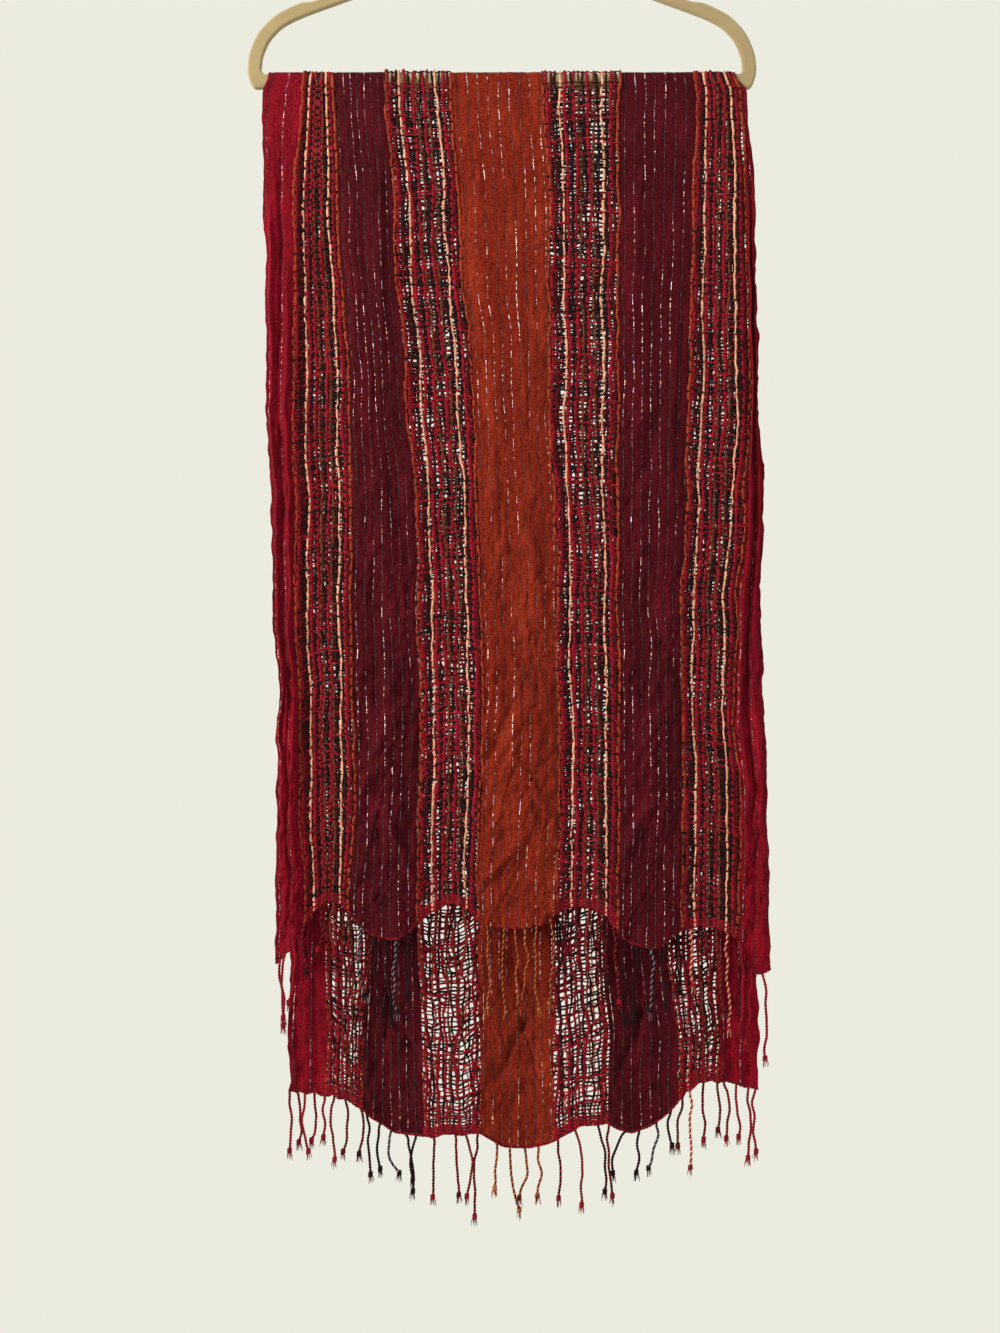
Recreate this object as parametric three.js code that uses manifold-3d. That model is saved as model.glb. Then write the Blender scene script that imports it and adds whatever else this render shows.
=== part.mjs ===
// A long striped scarf, folded over the bar of a slim flocked clothes hanger and hanging in two drops.
// Dense gauze stripes (crimson, plum, rust, plum, crimson) alternate with four open net stripes, and both
// short ends carry a knotted fringe. Millimetres, +Z up, the front of the scarf faces -Y, and the origin is
// the inside top of the hook, where a closet rod carries everything.
import * as THREE from "three";
import { mergeVertices } from "three/addons/utils/BufferGeometryUtils.js";
import Module from "manifold-3d";

const wasm = await Module();
wasm.setup();

// ---- driving dimensions ----
const hangerWidth = 445; // over the two ends of the hanger
const frameThick = 5.5; // flocked plastic, front to back
const barDeep = 12.5; // height of the bar, and width of the arms
const frameEdgeRound = 1.4;
const openingTall = 112; // from the top of the bar to the inside of the apex
const neckWide = 20;
const neckTall = 8;
const hookInside = 20; // radius inside the hook
const wire = 4; // diameter of the hook's wire
const stemLength = 62; // from the inside top of the hook to the neck

const gauzeThick = 1.2;
const netThick = 1.6;
const seamGap = 0.3; // what parts two neighbouring pieces
const turnRadius = frameThick / 2 + 1.5; // the middle of the cloth, round the top edge of the bar
const hangDepth = 6.8; // from the middle of the hanger to the middle of a hanging drop
const turnSteps = 4;
const settleDrop = 70; // the cloth leaves the bar and reaches hangDepth within this drop
const ribRaise = 0.9; // how far a thick warp yarn stands out of the net
const ribHalf = 1.3;

const hemCord = 2.6; // height of the strip that carries the fringe
const strandRadius = 0.95;
const knotRadius = 2.1;
const knotLength = 7;
const strandSides = 4;
const strandAway = 2.4; // how far the fringe hangs proud of the cloth
const strandApart = 2.6; // and how much further every other strand hangs

const barTop = -(stemLength + neckTall + barDeep + openingTall);
const turnCentre = barTop - frameThick / 2; // height of the axis that the cloth turns about

// ---- the stripes, left to right; ribs are the places of the thick warps, as shares of the stripe ----
const crimson = 0x7a0a1c;
const plum = 0x48121b;
const rust = 0x86281a;
const netRed = 0x5e1420;
const netRibs = [0.25, 0.8];
const stripes = [
  { name: "crimson_left", colour: crimson, columns: 6 },
  { name: "net_outer_left", colour: netRed, ribs: netRibs },
  { name: "plum_left", colour: plum, columns: 5 },
  { name: "net_inner_left", colour: netRed, ribs: netRibs },
  { name: "rust_centre", colour: rust, columns: 6 },
  { name: "net_inner_right", colour: netRed, ribs: netRibs },
  { name: "plum_right", colour: plum, columns: 5 },
  { name: "net_outer_right", colour: netRed, ribs: netRibs },
  { name: "crimson_right", colour: crimson, columns: 6 },
];

// Level sections of each drop: how far below the fold, then x where each stripe begins, and the right edge.
const columnsOf = ([drop, ...x]) => ({ drop, x });
//   drop  edge  netOL  plumL netIL  rust netIR plumR netOR  crimR  edge
const frontSections = [
  [0, -203.5, -172, -148, -102.5, -45, 35, 102, 168, 200, 203.5],
  [14, -208.5, -174, -147, -102, -44, 36, 102.5, 170, 208, 213.5],
  [110, -206.5, -181, -142, -95, -37, 40, 101.5, 167, 212.5, 219],
  [284, -204.5, -182, -133, -82.5, -25.5, 41, 101, 162.5, 215, 223.5],
  [371, -200, -180, -131, -75.5, -20, 45.5, 101, 160, 212, 229],
  [459, -200, -180.5, -130.5, -73, -17.5, 48, 102.5, 156, 205, 225],
  [546, -194.5, -175.5, -130, -71, -15.5, 49.5, 102.5, 157, 202.5, 228],
  [634, -197, -177, -128.5, -72.5, -17.5, 49.5, 102.5, 157, 208.5, 230.5],
  [704, -196.5, -172.5, -132.5, -73, -21, 47, 101, 156, 205, 233],
].map(columnsOf);
const backSections = [
  [0, -203.5, -172, -148, -102.5, -45, 35, 102, 168, 200, 203.5],
  [14, -207, -174, -147, -102, -44, 36, 102.5, 170, 206, 210],
  [400, -198, -172, -130, -80, -24, 43, 98, 158, 204, 222],
  [765, -186, -155, -119, -74, -21, 43, 89, 146, 188, 224],
  [852, -188, -153.5, -122.5, -69, -19, 45, 94, 156, 190, 226],
].map(columnsOf);

// The hem of each drop, stripe by stripe: its drop at the stripe's left edge, and how far its middle
// hangs below (or is drawn up above) the straight line between the stripe's two edges.
const frontHem = {
  at: [773, 739.5, 730, 739.5, 736, 731, 745.5, 742, 751.5, 778],
  belly: [4, -15, 17, -16, 10, -13, 16, -5, 15],
};
const backHem = {
  at: [888, 891, 905, 928, 926, 932, 917, 896, 880, 888],
  belly: [0, -3, 7, -1, 9, -5, 16, -7, -2],
};

// Long folds, each running down a line from x at the bar to x at the hem. half is the half width of its
// crest and out how far it stands out of the hanging plane (sunk in, if negative); from and to are shares of
// the drop between which it is seen.
const fold = ([xBar, xHem, half, out, from, to]) => ({ xBar, xHem, half, out, from, to });
//  xBar xHem half  out  from  to
const frontFolds = [
  [-199, -193, 4.5, 2.4, -0.2, 0.62],
  [-188, -184, 5, 2.6, -0.2, 1.3],
  [-178, -176, 4.5, 2.0, -0.2, 0.9],
  [-190, -182, 9, 2.6, 0.55, 1.3],
  [-160, -152, 16, -1.6, 0.1, 1.3],
  [-135, -112, 9, 2.0, -0.1, 0.7],
  [-114, -90, 9, 2.4, -0.1, 1.3],
  [-78, -46, 22, -1.8, 0.0, 1.3],
  [-20, 2, 14, 1.6, -0.1, 0.9],
  [10, 26, 16, 2.4, 0.3, 1.3],
  [68, 74, 26, -1.6, 0.1, 1.3],
  [120, 118, 12, 1.8, -0.1, 0.8],
  [150, 140, 12, 2.6, 0.2, 1.3],
  [184, 176, 16, -1.8, -0.1, 1.3],
  [196, 200, 9, 1.8, -0.3, 0.5],
  [202, 215, 5, 2.4, -0.2, 0.75],
  [206, 224, 7, 2.6, 0.4, 1.3],
].map(fold);
const backFolds = [
  [-197, -180, 5, 2.4, -0.2, 1.3],
  [-184, -164, 6, 2.6, -0.2, 1.3],
  [-160, -140, 18, -1.6, 0.0, 1.3],
  [-132, -104, 10, 2.2, -0.1, 1.3],
  [-112, -82, 9, 1.8, 0.2, 0.9],
  [-74, -44, 24, -1.8, 0.1, 1.3],
  [-16, 0, 14, 2.0, -0.1, 0.8],
  [12, 24, 16, 2.6, 0.5, 1.3],
  [68, 68, 24, -1.6, 0.1, 1.3],
  [128, 118, 13, 2.2, -0.1, 1.3],
  [152, 142, 10, 2.0, 0.4, 1.3],
  [182, 172, 18, -1.6, 0.0, 1.3],
  [196, 200, 6, 2.2, -0.2, 1.3],
  [204, 216, 6, 2.2, -0.2, 1.3],
].map(fold);

// The fringe, one row for each strand: x of its root in the hem, how far it bends to the right of the root
// at its middle, how far its end is to the right of the root, and its length with the knot.
const strandRow = ([x, bend, end, length]) => ({ x, bend, end, length });
//    x  bend  end length
const frontStrands = [
  [-193, 2, 4, 64], [-188, -1, -2, 62], [-181, 1.5, -5, 58], [-170, -2, 2, 50], [-158, 1.5, -3, 46],
  [-146, -2, 1, 50], [-134, 2, 4, 58], [-122, -1.5, 6, 66], [-111, 2, 9, 72], [-101, 3, 6, 78],
  [-92, -2, 1, 70], [-82, 2, -4, 60], [-70, -2, 2, 54], [-58, 1.5, -1, 58], [-46, -2, 3, 56],
  [-34, 2, -2, 62], [-23, -1.5, 2, 66], [-13, 2, 1, 78], [2, -2, 2, 80], [11, 2, 1, 74],
  [20, 1.5, -2, 62], [30, -2, 2, 79], [42, 2, -2, 80], [53, -1, 1, 58], [64, 2, 3, 52],
  [76, -2, -3, 56], [88, 2, 5, 64], [97, 2, 6, 72], [107, -2, 1, 78], [117, -2, -5, 70],
  [129, 2, -2, 62], [141, -2, 2, 58], [153, 2, -2, 56], [165, -2, 3, 56], [176, 2, 8, 66],
  [186, 2, 8, 78], [196, -1, 4, 90], [206, 2, -1, 80], [216, -2, -4, 72], [226, 2, 1, 80],
].map(strandRow);
const backStrands = [
  [-187, 1, -1, 62], [-181, 4, -3, 54], [-173, -2.5, 7, 60], [-166, 1.6, -6, 52], [-156, -1.2, 0.6, 45],
  [-147, -3.7, 0.6, 66], [-138, 1.6, -4.7, 55], [-125, 3, -2, 50], [-119, 2.2, 3.7, 62], [-107, -2.5, 2, 50],
  [-97, -3.1, 13, 46], [-85, 6.2, 3.1, 60], [-75, -5.3, -2.2, 48], [-60, 0.9, -2.2, 62], [-41, 2.5, 1.9, 62],
  [-32, 4.7, 0, 64], [-21, -3.7, -3.1, 82], [-5, 0.5, -3.1, 50], [7, 1.6, 11, 64], [20, 0.9, -8, 54],
  [32, 1.6, -0.9, 53], [49, 1.6, 0.6, 62], [64, 6.2, 5.6, 75], [84, 6.2, 5, 68], [94, 0.5, 4.7, 72],
  [109, -9, -12, 46], [121, -0.9, -3, 46], [136, -0.9, -12, 50], [149, -1.6, 3.1, 40], [160, -3.7, -5, 55],
  [165, 1.6, 0.5, 77], [177, 0.5, 0.9, 60], [189, 3.1, -1.6, 50], [195, 4.7, 1.6, 60], [206, 1.6, 3.7, 55],
  [217, 1.6, 1, 72], [223, -1.6, 0.5, 64],
].map(strandRow);

const front = { side: -1, sections: frontSections, hem: frontHem, folds: frontFolds, strands: frontStrands, rows: 14 };
const back = { side: 1, sections: backSections, hem: backHem, folds: backFolds, strands: backStrands, rows: 15 };

// ---- the surface of a hanging drop: i is the stripe, u the share across it, t the share down the drop ----
const lerp = THREE.MathUtils.lerp;
const smooth = (x, lo, hi) => THREE.MathUtils.smoothstep(x, lo, hi);

function hemDrop({ hem }, i, u) {
  return lerp(hem.at[i], hem.at[i + 1], u) + hem.belly[i] * 4 * u * (1 - u);
}

function acrossAt({ sections }, i, u, down) {
  const below = sections.findIndex((row) => row.drop >= down);
  const b = below < 0 ? sections.length - 1 : Math.max(below, 1);
  const [upper, lower] = [sections[b - 1], sections[b]];
  const share = smooth(down, upper.drop, lower.drop);
  const xAt = (k) => lerp(upper.x[k], lower.x[k], share);
  return lerp(xAt(i) + seamGap / 2, xAt(i + 1) - seamGap / 2, u);
}

function standOut({ folds }, x, t) {
  return folds.reduce((sum, f) => {
    const off = (x - lerp(f.xBar, f.xHem, t)) / f.half;
    const along = smooth(t, f.from, f.from + 0.25) * (1 - smooth(t, f.to - 0.25, f.to));
    return sum + f.out * Math.exp(-off * off) * along;
  }, 0);
}

function clothPoint(drop, i, u, t) {
  const down = t * hemDrop(drop, i, u);
  const x = acrossAt(drop, i, u, down);
  const away = lerp(turnRadius, hangDepth, smooth(down, 8, settleDrop));
  const wave = standOut(drop, x, t) * smooth(down, 12, settleDrop * 1.6);
  return new THREE.Vector3(x, drop.side * (away + wave), turnCentre - down);
}

// ---- building closed solids ----
function solidFrom(points, faces) {
  const geometry = new THREE.BufferGeometry();
  geometry.setAttribute("position", new THREE.Float32BufferAttribute(points.flatMap((p) => p.toArray()), 3));
  const turned = signedVolume(points, faces) < 0 ? faces.map(([a, b, c]) => [a, c, b]) : faces;
  geometry.setIndex(turned.flat());
  geometry.computeVertexNormals();
  return geometry;
}

function signedVolume(points, faces) {
  const cross = new THREE.Vector3();
  return faces.reduce((sum, [a, b, c]) => sum + cross.crossVectors(points[b], points[c]).dot(points[a]), 0);
}

// Two quads' worth of triangles for each cell between rings of equal length; closed rings wrap round.
function skin(rings, faces, closed) {
  for (let r = 0; r + 1 < rings.length; r++) {
    const [here, next] = [rings[r], rings[r + 1]];
    const last = closed ? here.length : here.length - 1;
    for (let k = 0; k < last; k++) {
      const m = (k + 1) % here.length;
      faces.push([here[k], here[m], next[m]], [here[k], next[m], next[k]]);
    }
  }
}

// A wall between two grids of points: each row of the grids becomes one ring round the wall.
function wallFrom(outerRows, innerRows) {
  const points = [];
  const rings = outerRows.map((outer, r) => {
    const ring = [...outer, ...[...innerRows[r]].reverse()];
    return ring.map((p) => points.push(p) - 1);
  });
  const faces = [];
  skin(rings, faces, true);
  const n = outerRows[0].length;
  for (const [ring, first] of [[rings[0], true], [rings.at(-1), false]]) {
    for (let k = 0; k + 1 < n; k++) {
      const quad = [ring[k], ring[k + 1], ring[2 * n - 2 - k], ring[2 * n - 1 - k]];
      const [a, b, c, d] = first ? quad.reverse() : quad;
      faces.push([a, b, c], [a, c, d]);
    }
  }
  return solidFrom(points, faces);
}

// Where the grid of a stripe has its columns, as shares of the stripe, with 1 where a rib is raised.
function stripeColumns(stripe, width) {
  if (!stripe.ribs) {
    return Array.from({ length: stripe.columns + 1 }, (_, k) => ({ u: k / stripe.columns, rib: 0 }));
  }
  const half = ribHalf / width;
  const crests = stripe.ribs.flatMap((u) => [
    { u: u - half, rib: 0 },
    { u, rib: 1 },
    { u: u + half, rib: 0 },
  ]);
  const flats = [0, 0.52, 1].map((u) => ({ u, rib: 0 }));
  return [...flats, ...crests].sort((a, b) => a.u - b.u);
}

function stripeWidth(i) {
  return frontSections[3].x[i + 1] - frontSections[3].x[i];
}

// One row of a stripe's wall: the points of its outer and its inner face, either side of the middle.
function wallRow(i, outward, pointAt) {
  const stripe = stripes[i];
  const thick = stripe.ribs ? netThick : gauzeThick;
  const outer = [];
  const inner = [];
  for (const { u, rib } of stripeColumns(stripe, stripeWidth(i))) {
    const p = pointAt(u);
    outer.push(p.clone().addScaledVector(outward, thick / 2 + rib * ribRaise));
    inner.push(p.clone().addScaledVector(outward, -thick / 2));
  }
  return [outer, inner];
}

function dropRow(drop, i, t) {
  return wallRow(i, new THREE.Vector3(0, drop.side, 0), (u) => clothPoint(drop, i, u, t));
}

function turnRow(i, angle) {
  const outward = new THREE.Vector3(0, -Math.cos(angle), Math.sin(angle));
  const pointAt = (u) =>
    new THREE.Vector3(acrossAt(front, i, u, 0), 0, turnCentre).addScaledVector(outward, turnRadius);
  return wallRow(i, outward, pointAt);
}

function wallOfRows(rows) {
  return wallFrom(rows.map((row) => row[0]), rows.map((row) => row[1]));
}

function dropWall(drop, i) {
  const first = seamGap / hemDrop(drop, i, 0.5); // leaves the seam under the turn
  const rows = Array.from({ length: drop.rows + 1 }, (_, r) => dropRow(drop, i, lerp(first, 1, r / drop.rows)));
  return wallOfRows(rows);
}

function turnWall(i) {
  return wallOfRows(Array.from({ length: turnSteps + 1 }, (_, r) => turnRow(i, (Math.PI * r) / turnSteps)));
}

// ---- the fringe: a corded hem with twisted strands fused into it ----
function fringeStrand(path, radii) {
  const points = [];
  const rings = path.map((centre, k) =>
    Array.from({ length: strandSides }, (_, side) => {
      const angle = ((side + 0.5) / strandSides) * 2 * Math.PI;
      const offset = new THREE.Vector3(Math.cos(angle), Math.sin(angle), 0).multiplyScalar(radii[k]);
      return points.push(centre.clone().add(offset)) - 1;
    }),
  );
  const faces = [];
  skin(rings, faces, true);
  const [a, b, c, d] = rings[0];
  const [e, f, g, h] = rings.at(-1);
  faces.push([c, b, a], [d, c, a], [e, f, g], [e, g, h]);
  return solidFrom(points, faces);
}

// The lower edge of the drop at x, on the straight pieces between the columns of the walls.
function hemPointAt(drop, x) {
  const line = stripes.flatMap((stripe, i) =>
    stripeColumns(stripe, stripeWidth(i)).map(({ u }) => clothPoint(drop, i, u, 1)),
  );
  const next = line.findIndex((p) => p.x > x);
  const [from, to] = [line[next - 1], line[next]];
  return from.clone().lerp(to, (x - from.x) / (to.x - from.x));
}

// The line of a strand and its radius along it: it leaves the hem, hangs proud of the cloth and ends in a
// knot. Every other strand hangs a little further out, so that neighbours that cross stay apart.
function strandLine(drop, { x, bend, end, length }, k) {
  const root = hemPointAt(drop, x);
  const top = root.z - seamGap * 1.5 - hemCord / 2;
  const away = root.y + drop.side * (strandAway + (k % 2) * strandApart);
  const station = (side, share) => new THREE.Vector3(x + side, away, lerp(top, root.z - length, share));
  const knotTop = 1 - knotLength / length;
  const path = [
    new THREE.Vector3(x, root.y, top),
    station(bend * 0.2, 0.08),
    station(bend, 0.48),
    station(end, knotTop),
    station(end, (knotTop + 1) / 2),
    station(end, 1),
  ];
  const plain = path.slice(0, 4).map(() => strandRadius);
  return { path, radii: [...plain, knotRadius, strandRadius * 0.7] };
}

function asManifold(geometry) {
  const bare = geometry.clone();
  bare.deleteAttribute("normal");
  const merged = mergeVertices(bare, 1e-4);
  return new wasm.Manifold(
    new wasm.Mesh({
      numProp: 3,
      vertProperties: new Float32Array(merged.attributes.position.array),
      triVerts: new Uint32Array(merged.index.array),
    }),
  );
}

function asGeometry(solid) {
  const { vertProperties, triVerts } = solid.getMesh();
  const geometry = new THREE.BufferGeometry();
  geometry.setAttribute("position", new THREE.Float32BufferAttribute(vertProperties, 3));
  geometry.setIndex(Array.from(triVerts));
  geometry.computeVertexNormals();
  return geometry;
}

// The strip repeats the lower edge of every stripe, a seam's gap below it.
function hemStrip(drop) {
  const rows = stripes.map((_, i) => dropRow(drop, i, 1));
  const [outer, inner] = [0, 1].map((face) => rows.flatMap((row) => row[face]));
  const lowered = (points, by) => points.map((p) => p.clone().setZ(p.z - by));
  return wallOfRows([seamGap * 1.5, seamGap * 1.5 + hemCord].map((by) => [lowered(outer, by), lowered(inner, by)]));
}

function fringe(drop) {
  const joined = drop.strands.reduce((solid, strand, k) => {
    const { path, radii } = strandLine(drop, strand, k);
    return solid.add(asManifold(fringeStrand(path, radii)));
  }, asManifold(hemStrip(drop)));
  return asGeometry(joined);
}

// ---- the hanger ----
// The inside edge of the right arm, from the apex down to the bar, measured from the top of the bar.
function innerArm() {
  const reach = hangerWidth / 2 - barDeep; // inside of the end curl
  return new THREE.SplineCurve([
    new THREE.Vector2(0, openingTall),
    new THREE.Vector2(reach * 0.28, openingTall * 0.835),
    new THREE.Vector2(reach * 0.6, openingTall * 0.6),
    new THREE.Vector2(reach * 0.86, openingTall * 0.415),
    new THREE.Vector2(reach * 0.95, openingTall * 0.29),
    new THREE.Vector2(reach * 0.99, openingTall * 0.15),
    new THREE.Vector2(reach, openingTall * 0.035),
  ]);
}

function outerArm(steps) {
  const inner = innerArm();
  const notch = { from: 0.62, to: 0.7, deep: 3.5 }; // where a strap is held
  return Array.from({ length: steps + 1 }, (_, k) => {
    const u = k / steps;
    const tangent = inner.getTangent(u);
    const wide = barDeep - (u > notch.from && u < notch.to ? notch.deep : 0);
    return inner.getPoint(u).add(new THREE.Vector2(-tangent.y, tangent.x).multiplyScalar(wide));
  });
}

function hangerOutline() {
  const arm = outerArm(26).filter((p) => p.x > neckWide / 2);
  const corner = 10; // the curl runs round into the bar
  const end = arm.at(-1);
  const bottom = -barDeep;
  const curl = [
    new THREE.Vector2(end.x - 0.8, end.y - corner * 0.8),
    new THREE.Vector2(end.x - corner * 0.55, bottom + 1.2),
    new THREE.Vector2(end.x - corner * 1.6, bottom),
  ];
  const neckTop = openingTall + barDeep + neckTall;
  const neck = [new THREE.Vector2(neckWide / 2 - 2, neckTop), new THREE.Vector2(neckWide / 2, neckTop - 3)];
  const right = [...neck, ...arm, ...curl];
  const left = right.map((p) => new THREE.Vector2(-p.x, p.y)).reverse();
  const shape = new THREE.Shape([...right, ...left]);
  const inside = innerArm().getPoints(18).slice(1);
  const rightDown = [...inside, new THREE.Vector2(inside.at(-1).x - 3, 0)];
  const leftDown = rightDown.map((p) => new THREE.Vector2(-p.x, p.y));
  const apex = new THREE.Vector2(0, openingTall);
  shape.holes.push(new THREE.Path([apex, ...leftDown, ...rightDown.reverse()])); // winds against the outline
  return shape;
}

function hangerFrame() {
  const geometry = new THREE.ExtrudeGeometry(hangerOutline(), {
    depth: frameThick - 2 * frameEdgeRound,
    bevelThickness: frameEdgeRound,
    bevelSize: frameEdgeRound,
    bevelOffset: -frameEdgeRound,
    bevelSegments: 1,
  });
  geometry.translate(0, 0, -(frameThick / 2 - frameEdgeRound)); // centred on the thickness
  geometry.rotateX(Math.PI / 2);
  geometry.translate(0, 0, barTop);
  return geometry;
}

function hook() {
  const r = hookInside + wire / 2;
  const tipAngle = -0.6;
  const leaveAngle = 3.5;
  const bend = Array.from({ length: 9 }, (_, k) => {
    const angle = lerp(tipAngle, leaveAngle, k / 8);
    return new THREE.Vector3(r * Math.cos(angle), 0, r * Math.sin(angle) - hookInside);
  });
  const stem = [
    new THREE.Vector3(-r * 0.42, 0, -hookInside * 2.15),
    new THREE.Vector3(0, 0, -hookInside * 2.6),
    new THREE.Vector3(0, 0, -stemLength + seamGap),
  ];
  const section = new THREE.Shape();
  section.absarc(0, 0, wire / 2, 0, 2 * Math.PI);
  return new THREE.ExtrudeGeometry(section, {
    extrudePath: new THREE.CatmullRomCurve3([...bend, ...stem]),
    steps: 28,
    curveSegments: 5,
  });
}

// ---- assembly ----
const part = new THREE.Group();

function addPiece(name, geometry, { color, roughness = 0.9, metalness = 0 }) {
  const mesh = new THREE.Mesh(geometry, new THREE.MeshStandardMaterial({ color, roughness, metalness }));
  mesh.name = name;
  part.add(mesh);
}

stripes.forEach(({ name, colour }, i) => {
  addPiece(`front_${name}`, dropWall(front, i), { color: colour });
  addPiece(`turn_${name}`, turnWall(i), { color: colour });
  addPiece(`back_${name}`, dropWall(back, i), { color: colour });
});
addPiece("front_fringe", fringe(front), { color: crimson });
addPiece("back_fringe", fringe(back), { color: crimson });
addPiece("hanger_frame", hangerFrame(), { color: 0xc2ac78, roughness: 0.95 });
addPiece("hanger_hook", hook(), { color: 0xb9bcc0, roughness: 0.3, metalness: 1 });

export default part;
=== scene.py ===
import math

import bpy
import numpy as np
from mathutils import Matrix, Vector


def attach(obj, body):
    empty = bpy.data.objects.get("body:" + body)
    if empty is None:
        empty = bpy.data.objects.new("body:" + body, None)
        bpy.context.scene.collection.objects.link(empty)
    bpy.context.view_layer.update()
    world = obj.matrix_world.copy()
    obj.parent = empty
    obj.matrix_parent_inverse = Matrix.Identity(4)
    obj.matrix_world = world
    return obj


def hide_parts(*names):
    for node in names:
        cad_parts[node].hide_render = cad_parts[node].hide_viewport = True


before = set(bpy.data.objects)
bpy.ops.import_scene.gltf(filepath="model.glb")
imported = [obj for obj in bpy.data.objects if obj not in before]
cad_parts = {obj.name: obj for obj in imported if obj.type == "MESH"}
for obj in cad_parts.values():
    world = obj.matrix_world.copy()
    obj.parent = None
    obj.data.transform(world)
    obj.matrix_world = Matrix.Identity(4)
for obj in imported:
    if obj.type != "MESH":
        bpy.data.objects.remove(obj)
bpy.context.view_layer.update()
print("frame loaded with", len(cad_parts), "nodes")

mm = 0.001


def linearColour(hexColour):
    parts = [int(hexColour[k:k + 2], 16) / 255 for k in (1, 3, 5)]
    return [c / 12.92 if c <= 0.04045 else ((c + 0.055) / 1.055) ** 2.4 for c in parts] + [1.0]


# A node or one of its outputs is linked to the socket its key names. Any other value is set on that socket,
# or on the node itself where no socket has the name.
def addNode(tree, kind, values=None):
    node = tree.nodes.new(kind)
    for key, value in (values or {}).items():
        if isinstance(value, bpy.types.Node):
            value = value.outputs[0]
        if isinstance(value, bpy.types.NodeSocket):
            tree.links.new(value, node.inputs[key])
        elif isinstance(key, int) or key in node.inputs:
            node.inputs[key].default_value = value
        else:
            setattr(node, key, value)
    return node


def newMaterial(name):
    material = bpy.data.materials.new(name)
    material.use_nodes = True
    material.node_tree.nodes.clear()
    return material, material.node_tree


def smoothStep(x, low, high):
    share = np.clip((x - low) / (high - low), 0, 1)
    return share * share * (3 - 2 * share)


def mix(a, b, share):
    return a + (b - a) * share


# smooth noise from -1 to 1 with one value for each whole x and y, the same in every run
def softNoise(x, y, seed):
    x, y = np.broadcast_arrays(np.asarray(x, float), np.asarray(y, float))
    column, row = np.floor(x), np.floor(y)
    across, along = smoothStep(x - column, 0, 1), smoothStep(y - row, 0, 1)

    def corner(right, up):
        wave = np.sin((column + right) * 127.1 + (row + up) * 311.7 + seed * 74.7) * 43758.5453
        return 2 * (wave - np.floor(wave)) - 1

    return mix(mix(corner(0, 0), corner(1, 0), across), mix(corner(0, 1), corner(1, 1), across), along)


# How the scarf hangs. Lengths here and in the tables are millimetres, as in the part's source.
hang = {
    "turnRadius": 4.25,  # the bar's top edge to the middle of the cloth, as a half circle
    "turnCentre": -197.25,
    "depth": 6.8,  # the hanger's middle to a drop that hangs free
    "leave": 8.0,  # the cloth starts to leave the bar at this drop below the fold
    "settle": 70.0,  # and hangs free from this one
    "foldFrom": 12.0,  # the long folds rise from this drop
    "foldFull": 112.0,  # to this one
    "foldFade": 0.25,  # share of the drop over which a fold comes and goes
    "wander": 1.3,  # how far seams and edges stray sideways
    "selvedge": 1.0,  # how far the two outer edges ripple
    "strayFrom": 10.0,  # both start at this drop
    "strayFull": 60.0,  # and are full at this one
    "hemRipple": 1.6,  # how far the hems ripple up and down
}
stripeNames = ["crimsonLeft", "netOuterLeft", "plumLeft", "netInnerLeft", "rustCentre",
               "netInnerRight", "plumRight", "netOuterRight", "crimsonRight"]
cadNames = ["crimson_left", "net_outer_left", "plum_left", "net_inner_left", "rust_centre",
            "net_inner_right", "plum_right", "net_outer_right", "crimson_right"]
cutWidths = [36, 56, 64, 56, 78, 56, 64, 56, 36]
frontLength, backLength = 742, 926

# level sections: drop below the fold, then x of the left edge, of each seam and of the right edge
frontSections = np.array([
    [0, -203.5, -172, -148, -102.5, -45, 35, 102, 168, 200, 203.5],
    [14, -208.5, -174, -147, -102, -44, 36, 102.5, 170, 208, 213.5],
    [110, -206.5, -181, -142, -95, -37, 40, 101.5, 167, 212.5, 219],
    [284, -204.5, -182, -133, -82.5, -25.5, 41, 101, 162.5, 215, 223.5],
    [371, -200, -180, -131, -75.5, -20, 45.5, 101, 160, 212, 229],
    [459, -200, -180.5, -130.5, -73, -17.5, 48, 102.5, 156, 205, 225],
    [546, -194.5, -175.5, -130, -71, -15.5, 49.5, 102.5, 157, 202.5, 228],
    [634, -197, -177, -128.5, -72.5, -17.5, 49.5, 102.5, 157, 208.5, 230.5],
    [704, -196.5, -172.5, -132.5, -73, -21, 47, 101, 156, 205, 233],
])
backSections = np.array([
    [0, -203.5, -172, -148, -102.5, -45, 35, 102, 168, 200, 203.5],
    [14, -207, -174, -147, -102, -44, 36, 102.5, 170, 206, 210],
    [400, -198, -172, -130, -80, -24, 43, 98, 158, 204, 222],
    [765, -186, -155, -119, -74, -21, 43, 89, 146, 188, 224],
    [852, -188, -153.5, -122.5, -69, -19, 45, 94, 156, 190, 226],
])
# long folds: x at the bar, x at the hem, half width, how far it stands out, and the shares of the drop
# that it runs between
frontFolds = [
    [-199, -193, 4.5, 2.4, -0.2, 0.62],
    [-188, -184, 5, 2.6, -0.2, 1.3],
    [-178, -176, 4.5, 2.0, -0.2, 0.9],
    [-190, -182, 9, 2.6, 0.55, 1.3],
    [-160, -152, 16, -1.6, 0.1, 1.3],
    [-135, -112, 9, 2.0, -0.1, 0.7],
    [-114, -90, 9, 2.4, -0.1, 1.3],
    [-78, -46, 22, -1.8, 0.0, 1.3],
    [-20, 2, 14, 1.6, -0.1, 0.9],
    [10, 26, 16, 2.4, 0.3, 1.3],
    [68, 74, 26, -1.6, 0.1, 1.3],
    [120, 118, 12, 1.8, -0.1, 0.8],
    [150, 140, 12, 2.6, 0.2, 1.3],
    [184, 176, 16, -1.8, -0.1, 1.3],
    [196, 200, 9, 1.8, -0.3, 0.5],
    [202, 215, 5, 2.4, -0.2, 0.75],
    [206, 224, 7, 2.6, 0.4, 1.3],
]
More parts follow.
